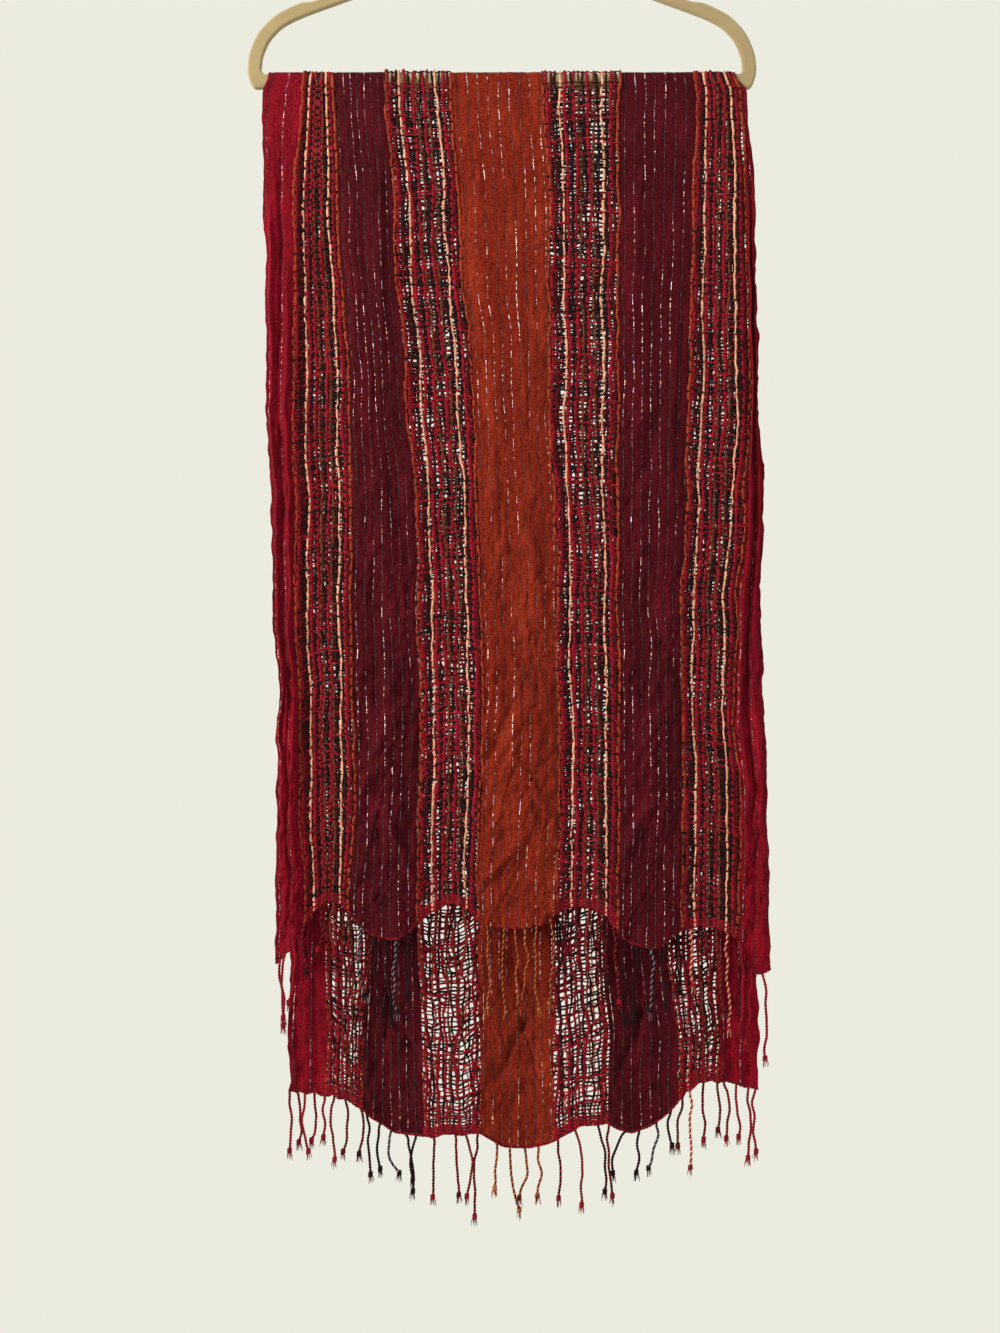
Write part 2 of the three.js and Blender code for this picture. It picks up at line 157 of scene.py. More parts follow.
backFolds = [
    [-197, -180, 5, 2.4, -0.2, 1.3],
    [-184, -164, 6, 2.6, -0.2, 1.3],
    [-160, -140, 18, -1.6, 0.0, 1.3],
    [-132, -104, 10, 2.2, -0.1, 1.3],
    [-112, -82, 9, 1.8, 0.2, 0.9],
    [-74, -44, 24, -1.8, 0.1, 1.3],
    [-16, 0, 14, 2.0, -0.1, 0.8],
    [12, 24, 16, 2.6, 0.5, 1.3],
    [68, 68, 24, -1.6, 0.1, 1.3],
    [128, 118, 13, 2.2, -0.1, 1.3],
    [152, 142, 10, 2.0, 0.4, 1.3],
    [182, 172, 18, -1.6, 0.0, 1.3],
    [196, 200, 6, 2.2, -0.2, 1.3],
    [204, 216, 6, 2.2, -0.2, 1.3],
]
front = {
    "side": -1,
    "sections": frontSections,
    "folds": frontFolds,
    "hemAt": [773, 739.5, 730, 739.5, 736, 731, 745.5, 742, 751.5, 778],
    "hemBelly": [4, -15, 17, -16, 10, -13, 16, -5, 15],
}
back = {
    "side": 1,
    "sections": backSections,
    "folds": backFolds,
    "hemAt": [888, 891, 905, 928, 926, 932, 917, 896, 880, 888],
    "hemBelly": [0, -3, 7, -1, 9, -5, 16, -7, -2],
}


def hemDrop(drop, stripe, u):
    at = drop["hemAt"]
    ripple = hang["hemRipple"] * softNoise((stripe + u) * 6, drop["side"], 7)
    return mix(at[stripe], at[stripe + 1], u) + drop["hemBelly"][stripe] * 4 * u * (1 - u) + ripple


def acrossAt(drop, stripe, u, down):
    drops = drop["sections"][:, 0]
    below = np.clip(np.searchsorted(drops, down), 1, len(drops) - 1)
    share = smoothStep(down, drops[below - 1], drops[below])
    edges = drop["sections"][:, 1:]
    left = mix(edges[below - 1, stripe], edges[below, stripe], share)
    right = mix(edges[below - 1, stripe + 1], edges[below, stripe + 1], share)
    stray = hang["wander"] * softNoise((stripe + u) * 1.4, down / 38, 3)
    outer = np.clip(1 - u if stripe == 0 else u if stripe == 8 else 0 * u, 0, 1) ** 2
    ripple = softNoise(down / 12, stripe, 5) + 0.6 * softNoise(down / 5, stripe, 6)
    free = smoothStep(down, hang["strayFrom"], hang["strayFull"])
    return mix(left, right, u) + (stray + hang["selvedge"] * outer * ripple) * free


def standOut(drop, x, t):
    total, fade = np.zeros_like(x), hang["foldFade"]
    for xBar, xHem, half, out, start, end in drop["folds"]:
        off = (x - mix(xBar, xHem, t)) / half
        seen = smoothStep(t, start, start + fade) * (1 - smoothStep(t, end - fade, end))
        total += out * np.exp(-off * off) * seen
    return total


def hangingPoints(drop, stripe, u, t):
    down = t * hemDrop(drop, stripe, u)
    x = acrossAt(drop, stripe, u, down)
    away = mix(hang["turnRadius"], hang["depth"], smoothStep(down, hang["leave"], hang["settle"]))
    wave = standOut(drop, x, t) * smoothStep(down, hang["foldFrom"], hang["foldFull"])
    return np.stack([x, drop["side"] * (away + wave), hang["turnCentre"] - down], axis=-1)


# A place on a stripe is u, the share across it, and run, which goes from 0 to 1 up the front, to 2 over the
# bar and to 3 down the back. lift moves it out of the cloth.
def clothPoints(stripe, u, run, lift=0.0):
    u, run, lift = np.broadcast_arrays(np.asarray(u, float), np.asarray(run, float), np.asarray(lift, float))
    points = np.zeros(u.shape + (3,))
    inFront, behind = run <= 1, run >= 2
    overBar = ~(inFront | behind)
    points[inFront] = hangingPoints(front, stripe, u[inFront], 1 - run[inFront])
    points[behind] = hangingPoints(back, stripe, u[behind], run[behind] - 2)
    angle = (run[overBar] - 1) * math.pi
    xBar = acrossAt(front, stripe, u[overBar], np.zeros_like(angle))
    up = hang["turnCentre"] + hang["turnRadius"] * np.sin(angle)
    points[overBar] = np.stack([xBar, -hang["turnRadius"] * np.cos(angle), up], axis=-1)
    turned = np.clip(run - 1, 0, 1) * math.pi
    outward = np.stack([np.zeros_like(turned), -np.cos(turned), np.sin(turned)], axis=-1)
    return points + outward * lift[..., None]


# distance along the cloth from the start of the turn: negative on the front drop, positive on the back
def alongCloth(stripe, u, run):
    onFront = -(1 - np.clip(run, 0, 1)) * hemDrop(front, stripe, u)
    onTurn = np.clip(run - 1, 0, 1) * math.pi * hang["turnRadius"]
    onBack = np.clip(run - 2, 0, 1) * hemDrop(back, stripe, u)
    return onFront + onTurn + onBack


def runRows(step, turnRows=8):
    return np.concatenate([
        np.linspace(0, 1, int(frontLength / step), endpoint=False),
        np.linspace(1, 2, turnRows, endpoint=False),
        np.linspace(2, 3, int(backLength / step) + 1),
    ])


# Gauze: five crinkled stripes with metallic threads, each a thin shell.
gauze = {
    "acrossStep": 1.5,
    "alongStep": 3.6,
    "edgeCalm": 3.0,  # the relief fades out this near to a stripe's edges
    "pucker": 0.4,  # how deep the cloth draws in along a metallic thread
    "puckerHalf": 1.3,
    "ridge": 0.35,  # soft upright ridges between the threads
    "ridgeWide": 4.6,
    "ridgeLong": 58.0,
    "crinkle": 0.25,  # fine crinkle of the crepe
    "crinkleWide": 2.6,
    "crinkleLong": 8.0,
    "crumple": 2.3,  # height of the crumples, most of them low in each drop
    "highShare": 0.25,  # what is left of them near the bar
    "lowFrom": 180.0,  # they grow from this distance from the bar
    "lowFull": 620.0,  # to this one
    "crease": 1.3,  # scales the heights of the listed creases
    "creaseBend": 1.0,  # how far a crease winds, as a share of its half width
    "lowBackCrease": 0.3,  # low in the back drop they are higher by this share
    "lowBackFrom": 400.0,
    "lowBackFull": 740.0,
    "threadPitch": {0: 16.0, 2: 8.4, 4: 8.8, 6: 8.4, 8: 16.0},
    "threadStart": 4.6,
    "barShare": 0.3,  # the share of the relief that is left on the bar
    "calmFrom": 6.0,  # it grows from this distance from the bar
    "calmAtBar": 60.0,  # to its full height at this one
}
# creases listed for each stripe: share across and distance along at one end, the same at the other
# end, half width, height
gauzeCreases = {
    0: [
        [0.22, -760, 0.18, -20, 2.6, 2.6], [0.48, -520, 0.52, -14, 2.2, -2.2],
        [0.74, -770, 0.80, -120, 2.6, 2.2], [0.50, -770, 0.46, -480, 2.4, -2.6],
        [0.20, 880, 0.26, 20, 2.5, 2.6], [0.52, 880, 0.50, 30, 2.3, -2.4], [0.78, 700, 0.76, 20, 2.4, 2.4],
        [0.75, -700, 0.30, -470, 1.8, 1.4], [0.35, -420, 0.55, -150, 1.6, 1.1],
        [0.60, -660, 0.85, -560, 1.5, 1.0], [0.15, -250, 0.25, -90, 1.4, 0.9],
        [0.30, 860, 0.60, 640, 2.0, 1.3], [0.70, 560, 0.50, 260, 1.9, 1.1],
    ],
    2: [
        [0.20, -690, 0.55, -560, 2.0, 1.3], [0.75, -700, 0.45, -610, 1.8, 1.1],
        [0.85, -480, 0.60, -330, 2.2, 1.3], [0.30, -420, 0.40, -210, 2.0, 1.1],
        [0.65, -250, 0.80, -60, 2.4, 1.2], [0.05, -640, 0.55, -560, 5.0, 3.0],
        [0.95, -700, 0.40, -630, 4.5, 2.8], [0.90, -420, 0.50, -300, 6.5, -2.4],
        [0.95, 880, 0.30, 810, 4.5, 3.0], [0.10, 760, 0.60, 660, 6.0, 2.6],
        [0.25, 890, 0.60, 760, 2.1, 1.4], [0.70, 700, 0.45, 480, 2.2, 1.2],
        [0.35, 400, 0.55, 140, 2.2, 1.1],
    ],
    4: [
        [0.85, -690, 0.45, -600, 2.0, 1.5], [0.20, -660, 0.50, -540, 1.8, 1.2],
        [0.90, -560, 0.60, -470, 1.7, 1.1], [0.30, -470, 0.42, -300, 2.3, 1.1],
        [0.70, -330, 0.62, -120, 2.2, 1.0], [0.15, -200, 0.22, -50, 2.0, 0.8],
        [0.02, -708, 0.62, -655, 4.5, 3.2], [0.98, -668, 0.45, -590, 4.0, 2.8],
        [0.05, -610, 0.50, -520, 5.5, -2.6], [0.90, -500, 0.55, -380, 6.0, 2.4],
        [0.10, -420, 0.35, -250, 6.5, 2.0], [0.05, 905, 0.70, 830, 4.5, 3.2],
        [0.95, 850, 0.30, 770, 5.0, 3.0], [0.10, 740, 0.60, 650, 6.0, -2.6],
        [0.80, 900, 0.40, 790, 2.2, 1.5], [0.30, 780, 0.55, 620, 2.0, 1.2],
        [0.65, 560, 0.50, 300, 2.4, 1.1], [0.25, 330, 0.35, 90, 2.0, 0.9],
    ],
    6: [
        [0.25, -700, 0.55, -590, 2.0, 1.4], [0.80, -650, 0.60, -520, 1.8, 1.2],
        [0.40, -500, 0.30, -330, 2.1, 1.1], [0.75, -390, 0.85, -180, 2.2, 1.2],
        [0.20, -240, 0.30, -70, 2.0, 0.9], [0.05, -690, 0.60, -620, 5.0, 3.0],
        [0.95, -560, 0.40, -470, 5.5, 2.8], [0.10, -400, 0.60, -280, 6.5, -2.4],
        [0.05, 890, 0.60, 820, 4.5, 3.0], [0.95, 780, 0.35, 680, 5.5, -2.6],
        [0.30, 890, 0.65, 770, 2.1, 1.4], [0.75, 720, 0.55, 540, 2.0, 1.2],
        [0.40, 470, 0.30, 190, 2.2, 1.1],
    ],
    8: [
        [0.20, -780, 0.24, -14, 2.4, 3.6], [0.46, -780, 0.50, -40, 2.2, -3.4],
        [0.76, -600, 0.72, -10, 2.4, 2.6], [0.78, -780, 0.70, -480, 2.8, 3.0],
        [0.24, 880, 0.20, 20, 2.4, 3.8], [0.50, 880, 0.46, 24, 2.2, -3.6], [0.74, 880, 0.78, 20, 2.4, 3.2],
        [0.30, -720, 0.65, -600, 1.8, 1.4], [0.70, -560, 0.40, -430, 1.6, 1.3],
        [0.50, -380, 0.60, -200, 1.4, 0.9], [0.35, 850, 0.60, 680, 1.9, 1.3],
        [0.65, 590, 0.45, 300, 1.8, 1.1],
    ],
}
# crumples over all the cloth: how far they lean, width, length, seed, share of the full height
gauzeCrumples = [
    [0.55, 6.5, 26, 15, 0.9],
    [-0.7, 7.5, 22, 16, 0.9],
    [0.1, 11.0, 48, 17, 0.9],
    [1.3, 7.0, 24, 18, 0.55],
]


def crumpleLift(across, along):
    turnedLow = smoothStep(np.abs(along), gauze["lowFrom"], gauze["lowFull"])
    low = mix(gauze["highShare"], 1, turnedLow)
    lift = np.zeros_like(across)
    for turn, wide, long, seed, share in gauzeCrumples:
        beside = across * math.cos(turn) - along * math.sin(turn)
        onward = across * math.sin(turn) + along * math.cos(turn)
        fold = 1 - np.abs(softNoise(beside / wide, onward / long, seed))
        lift += gauze["crumple"] * share * low * (fold ** 2 - 0.4)
    return lift


def creaseLift(stripe, across, along):
    lowBack = smoothStep(along, gauze["lowBackFrom"], gauze["lowBackFull"])
    scale = gauze["crease"] * (1 + gauze["lowBackCrease"] * lowBack)
    lift = np.zeros_like(across)
    for u0, along0, u1, along1, half, height in gauzeCreases[stripe]:
        share = np.clip((along - along0) / (along1 - along0), 0, 1)
        bent = gauze["creaseBend"] * half * softNoise(along / 24, 0.0, stripe + along0)
        off = across - mix(u0, u1, share) * cutWidths[stripe] - bent
        ends = smoothStep(share, 0.0, 0.25) * (1 - smoothStep(share, 0.75, 1.0))
        lift += scale * height * ends * np.exp(-(off / half) ** 2)
    return lift


def gauzeLift(stripe, across, along):
    toEdge = np.minimum(across, cutWidths[stripe] - across)
    pitch = gauze["threadPitch"][stripe]
    nearest = (across - gauze["threadStart"]) / pitch
    offThread = (nearest - np.round(nearest)) * pitch
    drawn = 0.75 + 0.5 * softNoise(np.round(nearest) * 3.1, along / 26, 11)
    lift = -gauze["pucker"] * drawn * np.exp(-(offThread / gauze["puckerHalf"]) ** 2)
    ridges = softNoise(across / gauze["ridgeWide"] + stripe * 17, along / gauze["ridgeLong"], 12)
    fine = softNoise(across / gauze["crinkleWide"] + stripe * 9, along / gauze["crinkleLong"], 13)
    coarse = softNoise(across / 5.0 - along / 9.0, along / 13.0, 14)
    lift += gauze["ridge"] * ridges + gauze["crinkle"] * (fine + 0.6 * coarse)
    lift += crumpleLift(across, along) + creaseLift(stripe, across, along)
    fromBar = np.abs(along - math.pi * hang["turnRadius"] / 2)
    grown = mix(gauze["barShare"], 1, smoothStep(fromBar, gauze["calmFrom"], gauze["calmAtBar"]))
    return lift * grown * smoothStep(toEdge, 0.0, gauze["edgeCalm"])


def gridMesh(name, points, uv):
    rows, columns = points.shape[:2]
    index = np.arange(rows * columns).reshape(rows, columns)
    faces = np.stack([index[:-1, :-1], index[:-1, 1:], index[1:, 1:], index[1:, :-1]], axis=-1).reshape(-1, 4)
    mesh = bpy.data.meshes.new(name)
    mesh.from_pydata((points.reshape(-1, 3) * mm).tolist(), [], faces.tolist())
    layer = mesh.uv_layers.new(name="weave")
    layer.data.foreach_set("uv", (uv.reshape(-1, 2)[faces.reshape(-1)] * mm).astype(np.float32).ravel())
    mesh.polygons.foreach_set("use_smooth", [True] * len(faces))
    mesh.update()
    return mesh


def addPiece(name, mesh, material):
    piece = bpy.data.objects.new(name, mesh)
    bpy.context.scene.collection.objects.link(piece)
    mesh.materials.clear()
    mesh.materials.append(material)
    return piece


crepeLook = {
    "threadStray": 4.2,  # how far a foil thread strays from its line
    "besideThread": (0.4, 1.6),  # the shade beside a thread is full to the first distance, ends at the second
    "onThread": (0.16, 0.40),  # real foil is 0.3 mm wide, drawn 0.6 mm so that it shows
    "weave": (1.1, 1.3),  # plain weave of 0.5 mm threads, drawn at twice that so that it shows
    "weaveHeight": 0.04,  # share of the crepe's height
    "dentDepth": 0.25,
    "height": 3.6,
    "unlitFoil": 0.03,
    # painted shade in the short upright creases
    "creaseShadeColour": "#7c6a6c",
    # painted shade in the puckers beside the foil threads
    "shadeColour": "#6a5a5c",
}
# noise patterns of the crepe: width, length along the cloth, detail, roughness, shift, turn
crepePatterns = {
    "streaks": (1.613, 45.45, 3.0, 0.55, 0.0, 0.0),  # where warp threads crowd or part
    "blotches": (22.22, 62.5, 2.0, 0.6, 5.3, 0.0),
    "slubs": (3.846, 1.4286, 2.0, 0.6, 9.1, 0.0),
    "marks": (1.111, 13.333, 1.0, 0.5, 4.4, 0.0),  # short upright creases, dented in the bump and darkened by painted shade
    "passages": (8.621, 90.91, 1.0, 0.5, 7.7, 0.0),  # stretches where the painted glints on the foil are stronger and the painted shade beside it weaker
    "stray": (9.091, 38.46, 2.0, 0.5, 3.7, 0.0),
    "dashes": (8.621, 4.1667, 2.0, 0.7, 1.9, 0.0),  # painted glints on the foil, in dashes 3 to 12 mm long
    "hues": (2.5, 3.846, 1.0, 0.5, 2.3, 0.0),
    "crepe": (7.692, 13.333, 3.0, 0.6, 6.2, 0.6),
}
# how a pattern shows: its name, the two noise values it fades between, how much it shows at each
crepeFades = {
    "streak": ("streaks", 0.30, 0.56, 0.6, 1.0),
    "blotch": ("blotches", 0.42, 0.72, 0.0, 0.75),
    "slub": ("slubs", 0.3, 0.6, 0.55, 0.0),
    # painted shade in the short creases
    "creaseShade": ("marks", 0.64, 0.74, 0.0, 0.6),
    "dent": ("marks", 0.56, 0.68, 0.0, 1.0),
    # how strongly the painted shade beside the foil threads shows, stretch by stretch
    "pucker": ("passages", 0.35, 0.6, 0.6, 0.25),
    # painted glints on the foil: how strongly they show stretch by stretch, and the dashes where they lie
    "paintedGlintPassages": ("passages", 0.44, 0.6, 0.1, 1.0),
    "paintedGlint": ("dashes", 0.50, 0.60, 0.0, 1.0),
}


# Crinkled viscose crepe: matt and streaked along the warp, with dark slubs, painted shade in the puckers and
# short creases, and foil threads with painted glints.
def gauzeMaterial(name, pitch, colours):
    material, tree = newMaterial(name)
    place = addNode(tree, "ShaderNodeUVMap", {"uv_map": "weave"})
    parts = addNode(tree, "ShaderNodeSeparateXYZ", {0: place})
    pattern, fade = {}, {}
    for key, (wide, long, detail, rough, shift, turn) in crepePatterns.items():
        placed = addNode(tree, "ShaderNodeMapping", {
            "Vector": place, "Scale": (1 / (wide * mm), 1 / (long * mm), 1),
            "Location": (shift, shift * 0.37, shift), "Rotation": (0, 0, turn)})
        pattern[key] = addNode(tree, "ShaderNodeTexNoise", {
            "Vector": placed, "Scale": 1.0, "Detail": detail, "Roughness": rough})
    for key, (source, low, high, atLow, atHigh) in crepeFades.items():
        fade[key] = addNode(tree, "ShaderNodeMapRange", {
            "interpolation_type": "SMOOTHSTEP", "Value": pattern[source], "From Min": low, "From Max": high,
            "To Min": atLow, "To Max": atHigh})

    # the distance to the nearest foil thread
    centred = addNode(tree, "ShaderNodeMath", {"operation": "SUBTRACT", 0: pattern["stray"], 1: 0.5})
    strayed = addNode(tree, "ShaderNodeMath", {
        "operation": "MULTIPLY_ADD", 0: centred, 1: crepeLook["threadStray"] * mm, 2: parts.outputs["X"]})
    fromFirst = addNode(tree, "ShaderNodeMath", {
        "operation": "SUBTRACT", 0: strayed, 1: gauze["threadStart"] * mm})
    turns = addNode(tree, "ShaderNodeMath", {"operation": "DIVIDE", 0: fromFirst, 1: pitch * mm})
    nearest = addNode(tree, "ShaderNodeMath", {"operation": "ROUND", 0: turns})
    left = addNode(tree, "ShaderNodeMath", {"operation": "SUBTRACT", 0: turns, 1: nearest})
    off = addNode(tree, "ShaderNodeMath", {"operation": "ABSOLUTE", 0: left})
    offThread = addNode(tree, "ShaderNodeMath", {"operation": "MULTIPLY", 0: off, 1: pitch * mm})
    for key in ("besideThread", "onThread"):
        near, far = crepeLook[key]
        fade[key] = addNode(tree, "ShaderNodeMapRange", {
            "interpolation_type": "SMOOTHSTEP", "Value": offThread, "From Min": near * mm,
            "From Max": far * mm, "To Min": 1.0, "To Max": 0.0})

    # painted shade in the puckers beside each foil thread, weakest where the painted glints are strongest
    shade = addNode(tree, "ShaderNodeMath", {
        "operation": "MULTIPLY", 0: fade["besideThread"], 1: fade["pucker"]})
    # painted glints: the foil shows its pale colour and its metal in dashes, and only faintly elsewhere along
    # the thread
    paintedGlintShare = addNode(tree, "ShaderNodeMath", {"operation": "MULTIPLY", 0: fade["paintedGlint"], 1: fade["paintedGlintPassages"]})
    shown = addNode(tree, "ShaderNodeMath", {"operation": "MAXIMUM", 0: paintedGlintShare, 1: crepeLook["unlitFoil"]})
    foil = addNode(tree, "ShaderNodeMath", {"operation": "MULTIPLY", 0: fade["onThread"], 1: shown})
    foilHue = addNode(tree, "ShaderNodeValToRGB", {0: pattern["hues"]})
    stops = foilHue.color_ramp.elements
    stops.new(0.68)
    for stop, position, hue in zip(stops, (0.32, 0.5, 0.68), ("foilCool", "foil", "foilWarm")):
        stop.position = position
        stop.color = linearColour(colours[hue])

    dark, body, light = (linearColour(colours[key]) for key in ("dark", "body", "light"))
    creaseShadeColour, shadeColour = (linearColour(crepeLook[key]) for key in ("creaseShadeColour", "shadeColour"))
    colour = dark
    # the blends in turn: streaks along the warp, pale blotches, dark slubs, painted shade in the short
    # creases and beside the foil threads, and the foil with its painted glints
    for kind, share, added in (("MIX", fade["streak"], body), ("MIX", fade["blotch"], light),
                               ("MULTIPLY", fade["slub"], dark), ("MULTIPLY", fade["creaseShade"], creaseShadeColour),
                               ("MULTIPLY", shade, shadeColour), ("MIX", foil, foilHue)):
        colour = addNode(tree, "ShaderNodeMix", {
            "data_type": "RGBA", "blend_type": kind, 0: share, 6: colour, 7: added}).outputs[2]

    waves = []
    for source, wide in zip(("X", "Y"), crepeLook["weave"]):
        angle = addNode(tree, "ShaderNodeMath", {
            "operation": "MULTIPLY", 0: parts.outputs[source], 1: 2 * math.pi / (wide * mm)})
        waves.append(addNode(tree, "ShaderNodeMath", {"operation": "SINE", 0: angle}))
    weave = addNode(tree, "ShaderNodeMath", {"operation": "MULTIPLY", 0: waves[0], 1: waves[1]})
    woven = addNode(tree, "ShaderNodeMath", {
        "operation": "MULTIPLY_ADD", 0: weave, 1: crepeLook["weaveHeight"], 2: pattern["crepe"]})
    height = addNode(tree, "ShaderNodeMath", {
        "operation": "MULTIPLY_ADD", 0: fade["dent"], 1: -crepeLook["dentDepth"], 2: woven})
    bump = addNode(tree, "ShaderNodeBump", {
        "Strength": 0.8, "Distance": crepeLook["height"] * mm, "Height": height})
    # the foil is metal only where its glints are painted
    metallic = addNode(tree, "ShaderNodeMath", {"operation": "MULTIPLY", 0: foil, 1: 0.8})
    roughness = addNode(tree, "ShaderNodeMapRange", {
        "interpolation_type": "SMOOTHSTEP", "Value": foil, "From Min": 0.0, "From Max": 0.5,
        "To Min": 0.88, "To Max": 0.35})
    shader = addNode(tree, "ShaderNodeBsdfPrincipled", {
        "Base Color": colour, "Metallic": metallic, "Roughness": roughness, "Normal": bump,
        "Sheen Weight": 0.02, "Sheen Roughness": 0.5, "Specular IOR Level": 0.06})
    addNode(tree, "ShaderNodeOutputMaterial", {"Surface": shader})
    return material


foilColours = {"foil": "#f0dcd8", "foilCool": "#b8a8e6", "foilWarm": "#f2c9a0"}
crimsonGauze = gauzeMaterial("crimson crepe gauze", gauze["threadPitch"][0], {
    "dark": "#4a020a", "body": "#74051a", "light": "#8c0a22", **foilColours})
plumGauze = gauzeMaterial("plum crepe gauze", gauze["threadPitch"][2], {
    "dark": "#280209", "body": "#460611", "light": "#580a18", **foilColours})
rustGauze = gauzeMaterial("rust crepe gauze", gauze["threadPitch"][4], {
    "dark": "#561408", "body": "#782010", "light": "#8a2c16", **foilColours})
gauzeMaterials = {0: crimsonGauze, 2: plumGauze, 4: rustGauze, 6: plumGauze, 8: crimsonGauze}


def gauzeStripe(stripe):
    width = cutWidths[stripe]
    columns = np.linspace(0, 1, round(width / gauze["acrossStep"]) + 1)
    u, run = np.meshgrid(columns, runRows(gauze["alongStep"]))
    across, along = u * width, alongCloth(stripe, u, run)
    points = clothPoints(stripe, u, run, gauzeLift(stripe, across, along))
    mesh = gridMesh(stripeNames[stripe], points, np.stack([across, along], axis=-1))
    return addPiece(stripeNames[stripe], mesh, gauzeMaterials[stripe])


# Yarns: guide lines with a radius and a colour at each point become round yarns in one Geometry Nodes tree.
def yarnTree():
    tree = bpy.data.node_groups.new("yarns along guide lines", "GeometryNodeTree")
    tree.interface.new_socket("Guides", in_out="INPUT", socket_type="NodeSocketGeometry")
    inputs = {}
    for name, kind, value in (("Thickness", "Float", 1.0), ("Sides", "Int", 5), ("Depth", "Float", 1.0),
                              ("Stray", "Float", 0.0), ("Stray Length", "Float", 0.02), ("Seed", "Int", 4),
                              ("Yarn", "Material", None)):
        socket = tree.interface.new_socket(name, in_out="INPUT", socket_type="NodeSocket" + kind)
        if value is not None:
            socket.default_value = value
        inputs[name] = socket.identifier
    tree.interface.new_socket("Yarns", in_out="OUTPUT", socket_type="NodeSocketGeometry")
    given = addNode(tree, "NodeGroupInput").outputs
    place = addNode(tree, "GeometryNodeInputPosition")
    perLength = addNode(tree, "ShaderNodeMath", {"operation": "DIVIDE", 0: 1.0, 1: given["Stray Length"]})
    noise = addNode(tree, "ShaderNodeTexNoise", {
        "noise_dimensions": "4D", "Detail": 1.0, "Vector": place, "W": given["Seed"], "Scale": perLength})
    centred = addNode(tree, "ShaderNodeVectorMath",
                      {"operation": "SUBTRACT", 0: noise.outputs["Color"], 1: (0.5, 0.5, 0.5)})
    offset = addNode(tree, "ShaderNodeVectorMath",
                     {"operation": "SCALE", 0: centred, "Scale": given["Stray"]})
    strayed = addNode(tree, "GeometryNodeSetPosition", {"Geometry": given["Guides"], "Offset": offset})
    marked = addNode(tree, "GeometryNodeStoreNamedAttribute", {
        "data_type": "FLOAT_VECTOR", "Name": "yarnMiddle", "Geometry": strayed, "Value": place})
    lines = addNode(tree, "GeometryNodeMeshToCurve", {"Mesh": marked})
    size = addNode(tree, "GeometryNodeInputNamedAttribute", {"data_type": "FLOAT", "Name": "yarnRadius"})
    thick = addNode(tree, "ShaderNodeMath",
                    {"operation": "MULTIPLY", 0: size.outputs["Attribute"], 1: given["Thickness"]})
    ring = addNode(tree, "GeometryNodeCurvePrimitiveCircle", {"Radius": 1.0, "Resolution": given["Sides"]})
    tubes = addNode(tree, "GeometryNodeCurveToMesh",
                    {"Fill Caps": True, "Curve": lines, "Profile Curve": ring, "Scale": thick})
    # pressed in the cloth, a yarn is wider than deep: its depth along y is cut to a share
    middle = addNode(tree, "GeometryNodeInputNamedAttribute",
                     {"data_type": "FLOAT_VECTOR", "Name": "yarnMiddle"}).outputs["Attribute"]
    reach = addNode(tree, "ShaderNodeVectorMath", {"operation": "SUBTRACT", 0: place, 1: middle})
    shares = addNode(tree, "ShaderNodeCombineXYZ", {"X": 1.0, "Z": 1.0, "Y": given["Depth"]})
    pressed = addNode(tree, "ShaderNodeVectorMath",
                      {"operation": "MULTIPLY_ADD", 0: reach, 1: shares, 2: middle})
    flat = addNode(tree, "GeometryNodeSetPosition", {"Geometry": tubes, "Position": pressed})
    plain = addNode(tree, "GeometryNodeRemoveAttribute", {"Name": "yarnMiddle", "Geometry": flat})
    smooth = addNode(tree, "GeometryNodeSetShadeSmooth", {"Geometry": plain})
    real = addNode(tree, "GeometryNodeRealizeInstances", {"Geometry": smooth})
    dressed = addNode(tree, "GeometryNodeSetMaterial", {"Geometry": real, "Material": given["Yarn"]})
    addNode(tree, "NodeGroupOutput", {0: dressed})
    return tree, inputs


yarnNodes, yarnInputs = yarnTree()


# lines is a list of (points, radius, linear colour)
def yarnPiece(name, lines, material, sides=4, stray=0.0, strayLength=20.0, seed=4, depth=1.0):
    points = np.concatenate([p for p, _, _ in lines]) * mm
    radii = np.concatenate([np.broadcast_to(r, len(p)) for p, r, _ in lines]) * mm
    colours = np.concatenate([np.broadcast_to(c, (len(p), 4)) for p, _, c in lines])
    starts = np.cumsum([0] + [len(p) for p, _, _ in lines])
    edges = np.concatenate([np.stack([np.arange(a, b - 1), np.arange(a + 1, b)], axis=-1)
                            for a, b in zip(starts[:-1], starts[1:])])
    guide = bpy.data.meshes.new(name + " guides")
    guide.from_pydata(points.tolist(), edges.tolist(), [])
    guide.attributes.new("yarnRadius", "FLOAT", "POINT").data.foreach_set("value", radii.astype(np.float32))
    guide.attributes.new("yarnColour", "FLOAT_COLOR", "POINT").data.foreach_set(
        "color", colours.astype(np.float32).ravel())
    guideObject = bpy.data.objects.new(name + " guides", guide)
    bpy.context.scene.collection.objects.link(guideObject)
    modifier = guideObject.modifiers.new("yarns", "NODES")
    modifier.node_group = yarnNodes
    for key, value in (("Sides", sides), ("Stray", stray * mm), ("Stray Length", strayLength * mm),
                       ("Seed", seed), ("Thickness", 1.0), ("Depth", depth), ("Yarn", material)):
        modifier[yarnInputs[key]] = value
    view = bpy.context.evaluated_depsgraph_get()
    mesh = bpy.data.meshes.new_from_object(guideObject.evaluated_get(view))
    bpy.data.objects.remove(guideObject)
    mesh.name = name
    return addPiece(name, mesh, material)


